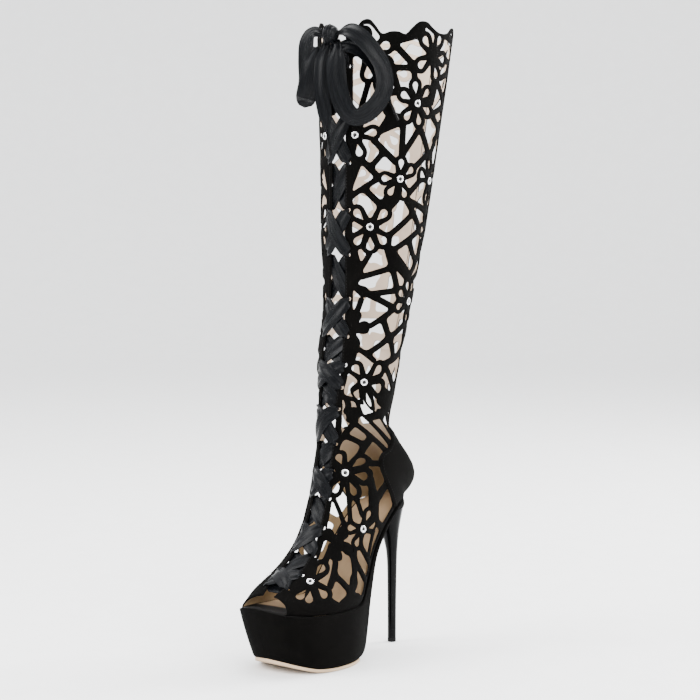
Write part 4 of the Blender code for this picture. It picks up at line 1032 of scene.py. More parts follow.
def outside(place):
    """Whether a chart place lies in a border band or past it."""
    x, up = place
    if up < PEEP_BAND or up > TOP - 1:
        return True
    throat, back = border_places(up)
    around = x / half_girth(up) + 0.5
    if in_counter(around, up):
        return True
    beside = x < throat + THROAT_BAND / 2 or x > back - edge_band(up) / 2
    return beside or up > collar_up(around) - COLLAR_BAND / 2


def flower_outlines():
    """Outlines of discs and petals, the slots in petals, and every petal's tip with its direction."""
    solids, slots, tips = [], [], []
    for number, flower in enumerate(FLOWERS):
        centre = chart(flower.around, flower.up)
        steps = local_frame(centre)
        solids.append(placed(np.array(circle(6)) * flower.reach * DISC, centre, steps, 0))
        for degrees in flower.petals:
            solids.append(placed(petal_outline(flower.reach), centre, steps, degrees))
            if flower.reach >= LEAST_SLOTTED:
                slots.append(placed(petal_slot(flower.reach), centre, steps, degrees))
            tip = placed([(flower.reach * PETAL_TIP, 0)], centre, steps, degrees)[0]
            tips.append((number, tip, unit(tip - centre)))
    return solids, [slot for slot in slots if not any(outside(corner) for corner in slot)], tips


def petal_slot(reach, parts=10):
    """A teardrop: a point toward the flower's middle, a round end toward the petal's tip."""
    lean = math.asin(SLOT_RADIUS / (SLOT_END - SLOT_START))
    turns = np.linspace(-math.pi / 2 - lean, math.pi / 2 + lean, parts)
    arc = [(reach * (SLOT_END + SLOT_RADIUS * math.cos(a)), reach * SLOT_RADIUS * math.sin(a)) for a in turns]
    return arc + [(reach * SLOT_START, 0.0)]


def first_leather(start, ray, walls):
    """Where a ray from a petal tip first meets a border, a petal or a bar, if that is near enough."""
    reach = RAY_FARTHEST
    for p, q in walls:
        far = start + ray * reach
        if crosses(start + ray * 1.5, far, p, q):
            edge = q - p
            grid = ray[0] * edge[1] - ray[1] * edge[0]
            reach = ((p[0] - start[0]) * edge[1] - (p[1] - start[1]) * edge[0]) / grid
    for distance in np.arange(1.0, reach, 1.0):
        if outside(start + ray * distance):
            reach = distance
            break
    return start + ray * reach if RAY_NEAREST <= reach < RAY_FARTHEST else None


def web_bars(tips, petals):
    """Bars between the flowers. Tips that face each other are joined first, the nearest pairs leading.
    A tip with a free side then sends a bar out on that side until it meets leather."""
    walls = [(p[k], p[(k + 1) % len(p)]) for p in petals for k in range(len(p))]
    bars, degree = [], [0] * len(tips)

    def clear(start, end):
        near, far = start + (end - start) * BAR_CLEAR, end + (start - end) * BAR_CLEAR
        return not any(crosses(near, far, p, q) for p, q in walls + bars)

    offers = []
    for i, (flower_i, tip_i, way_i) in enumerate(tips):
        for j, (flower_j, tip_j, way_j) in enumerate(tips[:i]):
            along = tip_j - tip_i
            distance = np.linalg.norm(along)
            if flower_i == flower_j or not 1 < distance < LONGEST_BAR:
                continue
            meet_i, meet_j = way_i @ along / distance, -(way_j @ along) / distance
            if min(meet_i, meet_j) > -0.2:
                offers.append((distance * (1.6 - 0.4 * (meet_i + meet_j)), i, j))
    for _, i, j in sorted(offers):
        if max(degree[i], degree[j]) < MOST_BARS and clear(tips[i][1], tips[j][1]):
            bars.append((tips[i][1], tips[j][1]))
            degree[i] += 1
            degree[j] += 1
    for i, (_, tip, way) in enumerate(tips):
        joined = [end for pair in bars for end, other in (pair, pair[::-1]) if other is tip]
        for turn in (SPLAY, -SPLAY) if joined or degree[i] else (0.0,):
            c, s = math.cos(math.radians(turn)), math.sin(math.radians(turn))
            ray = np.array([way[0] * c - way[1] * s, way[0] * s + way[1] * c])
            if any(ray @ (end - tip) > 0.55 * np.linalg.norm(end - tip) for end in joined):
                continue
            end = first_leather(tip, ray, walls + bars)
            if end is not None and degree[i] <= MOST_BARS:
                bars.append((tip, end))
                degree[i] += 1
    return [bar(start, end) for start, end in bars]


def collar_line(parts):
    places = smooth_rows(COLLAR, parts)
    return [chart(around, up) for around, up in places]


def band_heights():
    """Heights of the border bands' corners: close in the foot, wide apart up the shaft."""
    foot, ankle, top, least = 12.0, 16.0, 30.0, 4.0
    low, high = chart_up("ankle"), chart_up("low_calf")
    heights = list(np.arange(0, low, foot)) + list(np.arange(low, high, ankle))
    heights += list(np.linspace(high, TOP, round((TOP - high) / top) + 1))
    fixed = (chart_up("heel_low"), COUNTER[0].up)
    return np.array(sorted([u for u in heights if min(abs(u - v) for v in fixed) > least] + list(fixed)))


def counter_front(parts=2):
    """The counter's front and top edge, from the back seam round to the sole."""
    seam = chart_up("heel_low")
    edge = [chart(around, up) for around, up in smooth_rows(COUNTER, parts)]
    return [(min(x, border_places(up)[1] - COUNTER_LIFT), up) if up < seam else (x, up) for x, up in edge]


def counter_outline(parts=2, step=None):
    """Chart outline of the heel counter, closed along the back seam and a little above the sole."""
    seam = chart_up("heel_low")
    ups = band_heights() if step is None else np.arange(COUNTER[-1].up + step, COUNTER[0].up, step)
    ups = [u for u in ups if COUNTER[-1].up < u < COUNTER[0].up]
    return counter_front(parts) + [(border_places(u)[1] - (COUNTER_LIFT if u < seam else 0), u) for u in ups]


def pattern():
    """The openings between petals, bars and bands of one side, and the slots in its petals."""
    ups = band_heights()
    throat, back = throat_line(ups), back_line(ups)
    back_in = [(x - edge_band(u), u) for x, u in back]
    solids = [throat + [(x + THROAT_BAND, u) for x, u in throat[::-1]], back_in + back[::-1]]
    solids.append([(throat[0][0], 0), (back[0][0], 0), (back[0][0], PEEP_BAND), (throat[0][0], PEEP_BAND)])
    collar, far = collar_line(2), 60
    solids += [collar + [(x, y - COLLAR_BAND) for x, y in collar[::-1]], counter_outline()]
    petals, slots, tips = flower_outlines()
    solids += petals + web_bars(tips, petals)
    holes = [throat + [(-TOP, TOP), (-TOP, 0)], back + [(TOP, TOP), (TOP, 0)]]
    holes.append([(-TOP, 0), (TOP, 0), (TOP, -far), (-TOP, -far)])
    holes.append(collar + [(TOP, collar[-1][1]), (TOP, TOP + far), (-TOP, TOP + far), (-TOP, collar[0][1])])
    flat, triangles = leather_left(solids, holes)
    for _ in range(BRACE_ROUNDS):
        solids += braces(flat, triangles)
        flat, triangles = leather_left(solids, holes)
    loops = [flat[loop] for loop in loops_of(orient(flat, triangles))]
    return [loop for loop in loops if loop_area(loop) < 0], slots


OPENINGS, SLOTS = pattern()
print("pattern:", len(OPENINGS), "openings and", len(SLOTS), "slots on each side")

# %% [markdown]
# ## The upper
# Cut leather never has a sharp corner: the knife or the laser rounds it, and wear softens it more. So each
# opening's corners are cut back in three passes before the fine sheet is filled. The sheet is then raised
# on the last twice, outside in suede and inside in pale lining, with a painted edge between, whose upper
# corner is rounded by sinking the outermost row of points. Both sides are sewn at the back seam.

# %% fine cutting of the upper
CORNER_CUTS = (1.9, 0.8, 0.35)
OUTLINE_STEP = 3.0              # longest step along an edge, so that it follows the boot's curve
KINK = 0.5                      # unevenness of an opening's outline that is smoothed away
SLACK, FINE_SLACK = 0.05, 0.02  # how far a thinned outline may lie from the full one
FIELD, LINING_FIELD = 3.6, 6.0  # spacing of points inside the leather, outside and inside
SHOULDER, SUNK = 0.55, 0.4      # how far in the rounded edge starts and how far it drops


def rounded(outline):
    """The closed outline with its corners cut back, in smaller and smaller steps."""
    for most in CORNER_CUTS:
        ahead = np.roll(outline, -1, axis=0)
        length = np.linalg.norm(ahead - outline, axis=1, keepdims=True)
        share = np.minimum(0.28, most / length)
        outline = np.stack([outline + (ahead - outline) * share, ahead + (outline - ahead) * share], 1)
        outline = outline.reshape(-1, 2)
    return thin_out(outline, SLACK)


def resampled(outline, step):
    """The closed outline with more points, so that no side is longer than the step."""
    places = []
    for p, q in zip(outline, np.roll(outline, -1, axis=0)):
        parts = max(1, math.ceil(np.linalg.norm(q - p) / step))
        places += [p + (q - p) * k / parts for k in range(parts)]
    return np.array(places)


def shifted(outline, distance):
    """An anticlockwise outline moved out by a distance, or in where it is negative."""
    along = np.roll(outline, -1, axis=0) - np.roll(outline, 1, axis=0)
    along /= np.linalg.norm(along, axis=1, keepdims=True)
    return outline + np.stack([along[:, 1], -along[:, 0]], -1) * distance


def sheet(outline, holes, field, shoulders=True):
    """A fine flat sheet with holes: its outlines, a row of points along each, and a field between."""
    outlines = [anticlockwise(outline)] + [anticlockwise(hole) for hole in holes]
    rows = []
    if shoulders:
        rows = [shifted(line, SHOULDER if k else -SHOULDER) for k, line in enumerate(outlines)]
    near = np.vstack(outlines + rows)
    tree = kdtree.KDTree(len(near))
    for number, (x, y) in enumerate(near):
        tree.insert((x, y, 0), number)
    tree.balance()
    low, high = outlines[0].min(0), outlines[0].max(0)
    grid = []
    for number, y in enumerate(np.arange(low[1], high[1], field * 0.87)):
        grid += [(x, y) for x in np.arange(low[0] + field / 2 * (number % 2), high[0], field)]
    grid = np.array([place for place in grid if tree.find((*place, 0))[2] > field * 0.45])
    flat, triangles, solid, _ = cut(outlines[:1], outlines[1:], np.vstack(rows + [grid]))
    triangles = orient(flat, triangles[solid])
    used, packed = np.unique(triangles, return_inverse=True)
    return flat[used], packed.reshape(-1, 3)


def two_sides(front, back, outer, inner):
    """The outer sheet and the inner sheet raised on both sides of the boot, with an edge between them.
    Faces of kind 0 are outside, of kind 1 inside, of kind 2 on the cut edge."""
    points, faces, kinds = [], [], []
    total = 0

    def add(flat, side, out, made, kind):
        nonlocal total
        raised = creased(flat, side, out)
        seam = on_back_seam(flat)
        raised[seam, 0] = toe_curve(raised[seam, 1])
        points.append(raised)
        faces.extend(tuple(np.add(face, total)[::side]) for face in made)
        kinds.extend([kind] * len(made))
        total += len(flat)

    flat, triangles = front
    seam = on_back_seam(flat)
    rim = [(a, b) for a, b in rim_of(triangles) if not (seam[a] and seam[b])]
    drop = np.zeros(len(flat))
    drop[list({a for pair in rim for a in pair})] = SUNK
    drop[seam] = 0
    count = len(flat)
    for side in (1, -1):
        add(flat, side, outer - drop, triangles, 0)
        add(back[0], side, np.full(len(back[0]), inner), back[1][:, ::-1], 1)
        add(np.vstack([flat, flat]), side, np.r_[outer - drop, np.full(count, inner)],
            [(b, a, a + count, b + count) for a, b in rim], 2)
    return np.vstack(points), faces, kinds


def on_back_seam(flat):
    """Whether flat points lie where the two sides are sewn together, under the zip."""
    x, up = flat.T
    return (np.abs(x - half_girth(up) / 2) < 0.3) & (up > chart_up("heel_low") - 0.5) & (up < ZIP_FOOT + 0.5)


def upper_outline():
    """The outline of one side: throat, peep edge, sole edge, back seam, zip slit and collar."""
    seam_foot = chart_up("heel_low")
    foot = [(x, 0.0) for x in np.linspace(*border_places(0), 24)[:-1]]
    low = back_line(np.arange(0, seam_foot - 1, OUTLINE_STEP))
    low += back_line(np.arange(seam_foot, ZIP_FOOT - 1, OUTLINE_STEP))
    slit = back_line(np.arange(ZIP_FOOT, TOP, OUTLINE_STEP), SLIT_HALF)
    collar = collar_line(12)[::-1]
    left, right = border_places(TOP)[0], border_places(TOP)[1] - SLIT_HALF
    top = [tuple(p) for p in collar if left < p[0] < right]
    slit = [p for p in slit if p[1] < top[0][1] - 1] + [(right, top[0][1])]
    top.append((left, top[-1][1]))
    throat = throat_line(np.arange(OUTLINE_STEP, top[-1][1] - 1, OUTLINE_STEP))[::-1]
    return foot + low + back_line([ZIP_FOOT]) + slit + top + throat


def eyelet_hole(up):
    centre = np.array([border_places(up)[0] + THROAT_BAND / 2, up])
    return placed(np.array(circle(14)) * EYELET / 2, centre, local_frame(centre), 0)


def make_upper():
    openings = [resampled(rounded(thin_out(opening, KINK)), OUTLINE_STEP) for opening in OPENINGS]
    holes = openings + [np.array(slot) for slot in SLOTS] + [eyelet_hole(up) for up in EYELETS]
    front = sheet(upper_outline(), holes, FIELD)
    back = sheet(upper_outline(), holes, LINING_FIELD, shoulders=False)
    points, faces, kinds = two_sides(front, back, 0.0, -WALL)
    made = piece("suede_upper", points, faces, [SUEDE, LINING, CUT_EDGE], kinds, slot="black_suede")
    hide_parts("upper")


make_upper()

# %% [markdown]
# ## The heel counter
# A stiff cup holds the heel. It is cut from thicker leather, skived thin at its edge, and sewn on over
# the cut-out upper. It uses the same chart, so its front edge lies on the upper's lines.

# %% counter
COUNTER_GAP, COUNTER_WALL = 0.25, 1.3


def make_counter():
    outline = thin_out(anticlockwise(counter_outline(8, OUTLINE_STEP)), FINE_SLACK)
    front = sheet(resampled(outline, OUTLINE_STEP), [], FIELD)
    back = sheet(resampled(outline, OUTLINE_STEP), [], LINING_FIELD, shoulders=False)
    points, faces, kinds = two_sides(front, back, COUNTER_GAP + COUNTER_WALL, COUNTER_GAP)
    made = piece("suede_counter", points, faces, [SUEDE, SUEDE, CUT_EDGE], kinds, slot="black_suede")
    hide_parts("heel_counter")


make_counter()

# %% [markdown]
# ## Platform, insole and outsole
# The platform is one block from the toe to the heel seat, covered in the upper's suede. Its slices follow
# the foot: flat under the ball, stepped up behind it, steep along the arch. The block's lower corner is
# well rounded, because suede is pulled tight over it, while the upper corner stays crisp. A thin leather
# outsole is glued on below and a leather sock inside.

# %% platform
Slice = namedtuple("Slice", "name top_y top_z top_half low_y low_z low_half")
SOLE = [Slice(*row) for row in (
    ("nose", -80.1, 61.4, 2.5, -64.2, 12.9, 2.5),
    ("tip", -79.5, 61.0, 9, -63.5, 12.5, 8),
    ("tip_round", -77.5, 59.6, 19, -61.5, 11.6, 17),
    ("toe_cap", -72.5, 57.4, 28, -56.5, 9.6, 25.5),
    ("toe", -63, 55.6, 35.5, -48, 6.8, 32.5),
    ("vamp", -48, 54.4, 41, -37, 4.2, 38.5),
    ("joint", -26, 53.5, 44.5, -22, 3.3, 42.5),
    ("ball", -2, 53.5, 44, -6, 3.3, 43),
    ("tread", 12, 54.1, 41.5, 10, 3.3, 40),
    ("instep", 22, 56.2, 38.5, 24, 3.3, 34),
    ("block_end", 29, 62.5, 36, 34, 4.5, 29),
    ("breast", 33.5, 69.6, 34.5, 39, 11, 27.5),
    ("breast_top", 37, 75.5, 33.5, 41.5, 32, 28.5),
    ("waist", 41.5, 84, 32, 45, 58, 29),
    ("arch", 50, 99.5, 30, 55, 93, 27.5),
    ("shank", 66, 120.5, 28.8, 68, 114, 26.5),
    ("seat_front", 88, 139, 27.3, 87, 133.6, 24.5),
    ("seat", 104, 143.4, 20.5, 103, 134, 20),
    ("seat_back", 112.5, 145.2, 11.5, 111, 134, 11.5),
    ("seat_end", 116, 146.2, 4.5, 115, 134, 4.5),
)]
SLICE_PARTS = 5
SIDE_SWELL = 1.2
LOW_CORNER, TOP_CORNER = 3.2, 1.3       # radii of the block's corners, smaller where it is small


def sole_slices(first, last):
    """Smooth slices between two named ones, both included."""
    names = [row.name for row in SOLE]
    rows = [row[1:] for row in SOLE[names.index(first) : names.index(last) + 1]]
    return [Slice("", *row) for row in smooth_rows(rows, SLICE_PARTS)]


def bent(ring):
    """A ring shifted sideways with the toe's curve."""
    return np.array([(x + toe_curve(y), y, z) for x, y, z in ring])


def mirrored(half_ring):
    """A whole ring from its outer half, shifted with the toe's curve."""
    return bent(half_ring + [(-x, y, z) for x, y, z in half_ring[::-1]])


def platform_ring(row, arc=6, wall=6):
    top, low = np.array((row.top_y, row.top_z)), np.array((row.low_y, row.low_z))
    tall = np.linalg.norm(top - low)
    low_corner = min(LOW_CORNER, row.low_half / 3, tall / 3)
    top_corner = min(TOP_CORNER, row.top_half / 4, tall / 5)
    line = [(height, inset) for inset, height in quarter(low_corner, arc)]
    line += [(height, 0.0) for height in np.linspace(low_corner, tall - top_corner, wall)[1:-1]]
    line += [(tall - drop, inset) for drop, inset in quarter(top_corner, arc)]
    right = []
    for height, inset in line:
        share = height / tall
        half = row.low_half + (row.top_half - row.low_half) * share + SIDE_SWELL * 4 * share * (1 - share)
        right.append((half - inset, *(low + (top - low) * share)))
    return mirrored(right)


platform = loft("suede_platform", [platform_ring(row) for row in sole_slices("nose", "seat_end")], [SUEDE],
                slot="black_suede")
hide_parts("platform")

# %% outsole
OUTSOLE, OUTSOLE_INSET, OUTSOLE_EDGE, OUTSOLE_GLUE = 3.0, 1.2, 0.8, 0.05


def outsole_ring(row, arc=4):
    half, top = row.low_half - min(OUTSOLE_INSET, row.low_half / 6), row.low_z - OUTSOLE_GLUE
    corner = quarter(min(OUTSOLE_EDGE, half / 2), arc)
    right = [(half - inset, row.low_y, top - OUTSOLE + height) for inset, height in corner]
    return mirrored(right + [(half, row.low_y, top)])


outsole = loft("leather_outsole", [outsole_ring(row) for row in sole_slices("nose", "instep")], [SOLE_EDGE],
               slot="tan_leather")
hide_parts("outsole")

# %% insole
INSOLE, INSOLE_INSET, INSOLE_CROWN = 2.0, 4.8, 0.7
INSOLE_GLUE, INSOLE_SQUARE = 0.05, 40                   # room for glue below, and how square its edge is
INSOLE_EDGE = (1, 0.985, 0.955)                         # shares of its half width near the edge


def make_insole():
    rows = sole_slices("tip", "seat_back")
    line = np.array([(row.top_y, row.top_z) for row in rows])
    slope = np.gradient(line, axis=0)
    upward = unit(np.stack([-slope[:, 1], slope[:, 0]], -1))
    shares = np.r_[INSOLE_EDGE, np.linspace(0.9, -0.9, 17), np.negative(INSOLE_EDGE[::-1])]
    rings = []
    for row, place, up in zip(rows, line, upward):
        half = row.top_half - min(INSOLE_INSET, row.top_half / 2)
        foot = [(half * INSOLE_EDGE[1] * side, *(place + up * INSOLE_GLUE)) for side in (1, -1)]
        heights = INSOLE * (1 - np.abs(shares) ** INSOLE_SQUARE) ** 0.5 + INSOLE_CROWN * (1 - shares**2)
        top = [(half * share, *(place + up * (INSOLE_GLUE + h))) for share, h in zip(shares, heights)]
        rings.append(bent([foot[0], *top, foot[1]]))
    made = loft("leather_insole", rings, [SOCK], slot="tan_leather")
    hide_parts("insole")


make_insole()

# %% [markdown]
# ## The heel
# The stiletto is moulded plastic under black lacquer, a slim post that widens to the seat. Real ones are
# turned from a drawing of their side and back lines, so it is built the same way: ovals at a few heights
# with a smooth skin. A rubber tip is pinned on below.

# %% heel
Level = namedtuple("Level", "z mid_y half_y half_x")
HEEL = [Level(*row) for row in (
    (4.05, 111, 4.1, 4.1),
    (40, 111, 4.3, 4.3),
    (80, 111, 4.9, 5.0),
    (98, 109.8, 6.2, 6.8),
    (112, 107.2, 8.8, 10.0),
    (124, 104.6, 11.6, 14.0),
    (133.9, 102.8, 13.6, 17.5),
)]
HEEL_TIP = [Level(*row) for row in (
    (0, 111, 3.5, 3.5), (0.15, 111, 3.9, 3.9), (0.6, 111, 4.15, 4.15),
    (3.6, 111, 4.15, 4.15), (4.0, 111, 4.0, 4.0),
)]


def oval(level, count=48):
    turns = np.arange(count) * 2 * math.pi / count
    return np.stack([level.half_x * np.cos(turns), level.mid_y + level.half_y * np.sin(turns),
                     np.full(count, float(level.z))], -1)


heel = loft("lacquered_heel", [oval(Level(*row)) for row in smooth_rows(HEEL, 6)], [LACQUER],
            slot="black_lacquer")
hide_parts("heel")
heel_tip = loft("rubber_tip", [oval(row) for row in HEEL_TIP], [RUBBER], slot="black_rubber")
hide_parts("heel_tip")

# %% [markdown]
# ## Lacing
# One satin ribbon laces the whole front. It runs inside under the toe, comes out of both lowest eyelets
# and crosses from side to side, once outside the leather and once inside, up to the knot. Each hole
# gathers it to a string, and between the holes it spreads almost to its full width, one strand over the
# other. Its face turns over at each hole, as it does when a hand pulls it through.

# %% lace
LACE_HALF, LACE_GATHERED = 7.4, 2.1
LACE_OVER, LACE_ON_TOP = 1.15, 2.35     # how far out the two strands lie over the gap
HOLE_REACH = 2.3
KNOT_FOOT = (2.6, 600.0, 4.6)           # where a strand goes in under the knot: around, up, out


def front_skin(places, out):
    """Points over the open front: x is the way round from the ridge, positive to the outer side."""
    x, up = places.T
    flat = np.stack([np.abs(x) - half_girth(up) / 2, up], -1)
    points = skin(flat, 1, out)
    bend = toe_curve(points[:, 1])
    points[:, 0] = np.where(x < 0, -1, 1) * (points[:, 0] - bend) + bend
    return points


def lace_hole(number, side):
    up = EYELETS[number]
    return np.array([side * (throat_gap(up) + THROAT_BAND / 2), up])


def crossing(start, end, outward, on_top):
    """Rows (x, up, out, how far the face looks outward, sideways, half width) from hole to hole."""
    face = 1 if outward else -1
    length = np.linalg.norm(end - start)
    reach = HOLE_REACH / length
    rise = LACE_ON_TOP if on_top else LACE_OVER
    near = (reach, 0.75, 0.75, 0.65, 3.0), (2.2 * reach, LACE_OVER, 1, 0.1, LACE_HALF * 0.8)
    inner = (0.32, rise * 0.9 + 0.1, 1, 0, LACE_HALF * 0.97), (0.5, rise, 1, 0, LACE_HALF)
    far = [(1 - share, lift, out_face, -side_face, half) for share, lift, out_face, side_face, half in near]
    stops = ((0.0, None, 0.0, 1.0, LACE_GATHERED), *near, *inner, (0.68, *inner[0][1:]), *far[::-1])
    rows = []
    for share, lift, out_face, side_face, half in stops:
        x, up = start + (end - start) * share
        if lift is None:
            out = -WALL / 2
        else:
            out = lift if outward else -WALL - lift
        rows.append((x, up, out, face * out_face, np.sign(start[0]) * side_face, half))
    return rows


def strand(side):
    """One strand from its lowest eyelet up to the knot."""
    rows = []
    for number in range(len(EYELETS) - 1):
        start, end = lace_hole(number, side), lace_hole(number + 1, -side)
        rows += crossing(start, end, number % 2 == 0, (side > 0) == (number % 4 < 2))
        side = -side
    last = lace_hole(len(EYELETS) - 1, side)
    x, up, out = KNOT_FOOT
    end = np.array([side * x, up])
    for share, lift, out_face, side_face, half in (
        (0.0, -WALL / 2, 0.0, 1.0, LACE_GATHERED), (0.12, 0.8, 0.75, 0.65, 2.4), (0.30, 1.5, 1, 0, 4.2),
        (0.60, 2.6, 1, 0, 5.0), (1.0, out, 1, 0, 3.6),
    ):
        place = last + (end - last) * share
        rows.append((*place, lift, out_face, side * side_face, half))
    return rows


def make_lace():
    toe_bar = crossing(lace_hole(0, -1), lace_hole(0, 1), False, False)
    rows = strand(-1)[::-1] + toe_bar[1:] + strand(1)
    rows = smooth_rows(rows, 4)
    places, out = rows[:, :2], rows[:, 2]
    middle = front_skin(places, out)
    outward = unit(front_skin(places, out + PROBE) - front_skin(places, out - PROBE))
    step = np.array([PROBE, 0])
    sideways = unit(front_skin(places + step, out) - front_skin(places - step, out))
    facing = outward * rows[:, 3:4] + sideways * rows[:, 4:5]
    half = rows[:, 5]
    ripple = np.interp(half, (LACE_GATHERED, 4.0, LACE_HALF), (0.5, 0.55, 0.22))
    made = ribbon("satin_lace", middle, facing, half, ripple)
    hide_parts("lace")


make_lace()

# %% [markdown]
# ## Things that repeat
# Studs, stitches and zip teeth are each one small shape placed many times. In the factory a machine sets
# them along a line, and here a Geometry Nodes tree does: it takes marked points or lines, turns one shape
# to each place and realises them all. Every place comes with the way it faces.

# %% helpers for geometry nodes
def marked(name, points, facing, edges=()):
    """A mesh of bare points or lines whose points carry the way they face, in metres."""
    mesh = bpy.data.meshes.new(name)
    mesh.from_pydata((np.asarray(points, float) * MM).tolist(), list(edges), [])
    mesh.attributes.new("facing", "FLOAT_VECTOR", "POINT").data.foreach_set("vector", np.ravel(facing))
    made = bpy.data.objects.new(name, mesh)
    bpy.context.scene.collection.objects.link(made)
    return made


def placing_tree(name, inputs):
    """An empty geometry node group with its geometry sockets and named inputs, and its end node."""
    tree = bpy.data.node_groups.new(name, "GeometryNodeTree")
    tree.interface.new_socket("Geometry", in_out="INPUT", socket_type="NodeSocketGeometry")
    for label, kind in inputs.items():
        tree.interface.new_socket(label, in_out="INPUT", socket_type="NodeSocket" + kind)
    tree.interface.new_socket("Geometry", in_out="OUTPUT", socket_type="NodeSocketGeometry")
    return tree, tree.nodes.new("NodeGroupInput").outputs, tree.nodes.new("NodeGroupOutput")


def grown(name, source, tree, values, sharp=40.0):
    """The tree's result on a source, as a plain mesh piece with the source and modifier gone."""
    grow = source.modifiers.new(name, "NODES")
    grow.node_group = tree
    named = {item.name: item.identifier for item in tree.interface.items_tree if item.in_out == "INPUT"}
    for label, value in values.items():
        grow[named[label]] = value
    source.update_tag()
    bpy.context.view_layer.update()
    graph = bpy.context.evaluated_depsgraph_get()
    mesh = bpy.data.meshes.new_from_object(source.evaluated_get(graph), depsgraph=graph)
    mesh.name = name
    bpy.data.objects.remove(source, do_unlink=True)
    return shown(name, mesh, sharp, BOOT)


def facing_of(tree):
    """The way each marked point faces."""
    return wired(tree, "GeometryNodeInputNamedAttribute", "Attribute", {"data_type": "FLOAT_VECTOR"},
                 Name="facing")


def aligned(tree, axis, way, pivot="AUTO", **rotation):
    """A rotation that turns an axis toward a direction."""
    return wired(tree, "FunctionNodeAlignRotationToVector", "Rotation", {"axis": axis, "pivot_axis": pivot},
                 Vector=way, **rotation)


def stepped(tree, lines, pitch):
    """Points at equal steps along the marked lines."""
    curve = wired(tree, "GeometryNodeMeshToCurve", "Curve", Mesh=lines)
    return wired(tree, "GeometryNodeResampleCurve", "Curve", {"mode": "LENGTH"}, Curve=curve, Length=pitch)


def tangent_of(tree):
    return wired(tree, "GeometryNodeInputTangent", "Tangent")


def spread(tree, points, shape, material, turn, **more):
    """The shape at every point, realised, in its finish."""
    copies = wired(tree, "GeometryNodeInstanceOnPoints", "Instances", Points=points, Instance=shape,
                   Rotation=turn, **more)
    real = wired(tree, "GeometryNodeRealizeInstances", "Geometry", Geometry=copies)
    return wired(tree, "GeometryNodeSetMaterial", "Geometry", Geometry=real, Material=material)


# %% domed ring studs
STUD_SEAT = 0.1
STUD_RING, STUD_THICK = 2.55, 0.98      # radius of the ring's middle line and of its section
BUTTON = (0.82, 0.82, 0.3)              # the flattened ball in its middle, as shares of the ring's radius


def stud_tree():
    """A domed ring with a dark button in its middle at each point."""
    tree, given, result = placing_tree("ring_studs", {
        "Ring Radius": "Float", "Ring Thickness": "Float", "Ring": "Material", "Button": "Material"})
    turn = aligned(tree, "Z", facing_of(tree))
    path, section = [
        wired(tree, "GeometryNodeCurvePrimitiveCircle", "Curve", Resolution=count, Radius=given[radius])
        for count, radius in ((32, "Ring Radius"), (14, "Ring Thickness"))
    ]
    ring = wired(tree, "GeometryNodeCurveToMesh", "Mesh", Curve=path, Profile_Curve=section)
    ball = wired(tree, "GeometryNodeMeshUVSphere", "Mesh", Segments=20, Rings=10, Radius=given["Ring Radius"])
    button = wired(tree, "GeometryNodeTransform", "Geometry", Geometry=ball, Scale=BUTTON)
    joined = node(tree, "GeometryNodeJoinGeometry")
    for shape, material in ((ring, given["Ring"]), (button, given["Button"])):
        tree.links.new(spread(tree, given["Geometry"], shape, material, turn), joined.inputs["Geometry"])
    feed(tree, result, Geometry=joined.outputs["Geometry"])
    return tree


def make_studs():
    studded = [flower for flower in FLOWERS if flower.stud]
    places = np.array([chart(flower.around, flower.up) for flower in studded])
    points = np.vstack([creased(places, side, STUD_SEAT) for side in (1, -1)])
    facing = unit(np.vstack([creased(places, side, STUD_SEAT + 1) for side in (1, -1)]) - points)
    made = grown("ring_studs", marked("stud_places", points, facing), stud_tree(), {
        "Ring Radius": STUD_RING * MM, "Ring Thickness": STUD_THICK * MM, "Ring": METAL, "Button": DARK_METAL,
    })
    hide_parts(*(f"stud_{flower.name}_{word}" for flower in studded for word in ("outer", "inner")))


make_studs()

# %% stitches
STITCH, STITCH_PITCH, STITCH_THICK = 2.1, 3.0, 0.5
STITCH_STEP, STITCH_OUT = 3.0, 0.05     # spacing of a row's points, and how proud a row lies
EDGE_STITCHES, SEAM_STITCHES, THROAT_STITCHES = 2.2, 2.4, 1.5   # from the edge to the row


def stitch_tree():
    """A short thread lying along the line at equal steps."""
    tree, given, result = placing_tree("stitches", {
        "Pitch": "Float", "Length": "Float", "Thickness": "Float", "Thread": "Material"})
    thread = wired(tree, "GeometryNodeMeshUVSphere", "Mesh", Segments=8, Rings=6, Radius=0.5)
    size = wired(tree, "ShaderNodeCombineXYZ", "Vector", X=given["Length"], Y=given["Thickness"],
                 Z=given["Thickness"])
    turn = aligned(tree, "X", tangent_of(tree))
    feed(tree, result, Geometry=spread(tree, stepped(tree, given["Geometry"], given["Pitch"]), thread,
                                       given["Thread"], turn, Scale=size))
    return tree


def chained(lines):
    """Points and edges of several lines in one."""
    edges, start = [], 0
    for line in lines:
        edges += [(start + k, start + k + 1) for k in range(len(line) - 1)]
        start += len(line)
    return np.vstack(lines), edges


def make_stitches():
    """Rows round the heel counter, beside the back seam and along the zip."""
    edge = shifted(np.array(counter_front(8)), -EDGE_STITCHES)
    seam = back_line(np.arange(COUNTER[0].up + 5, ZIP_FOOT - 4, STITCH_STEP), SEAM_STITCHES)
    zip_row = back_line(np.arange(ZIP_FOOT + 2, TOP - 8, STITCH_STEP), SLIT_HALF + EDGE_STITCHES)
    throat = throat_line(np.arange(8, TOP - 8, STITCH_STEP), THROAT_STITCHES)
    lines = []
    for side in (1, -1):
        lines.append(creased(edge[2:-2], side, COUNTER_GAP + COUNTER_WALL + STITCH_OUT))
        lines += [creased(row, side, STITCH_OUT) for row in (seam, zip_row, throat)]
    points, edges = chained(lines)
    source = marked("stitch_lines", points, np.zeros(points.shape), edges)
    grown("stitches", source, stitch_tree(), {
        "Pitch": STITCH_PITCH * MM, "Length": STITCH * MM, "Thickness": STITCH_THICK * MM, "Thread": THREAD,
    })


make_stitches()

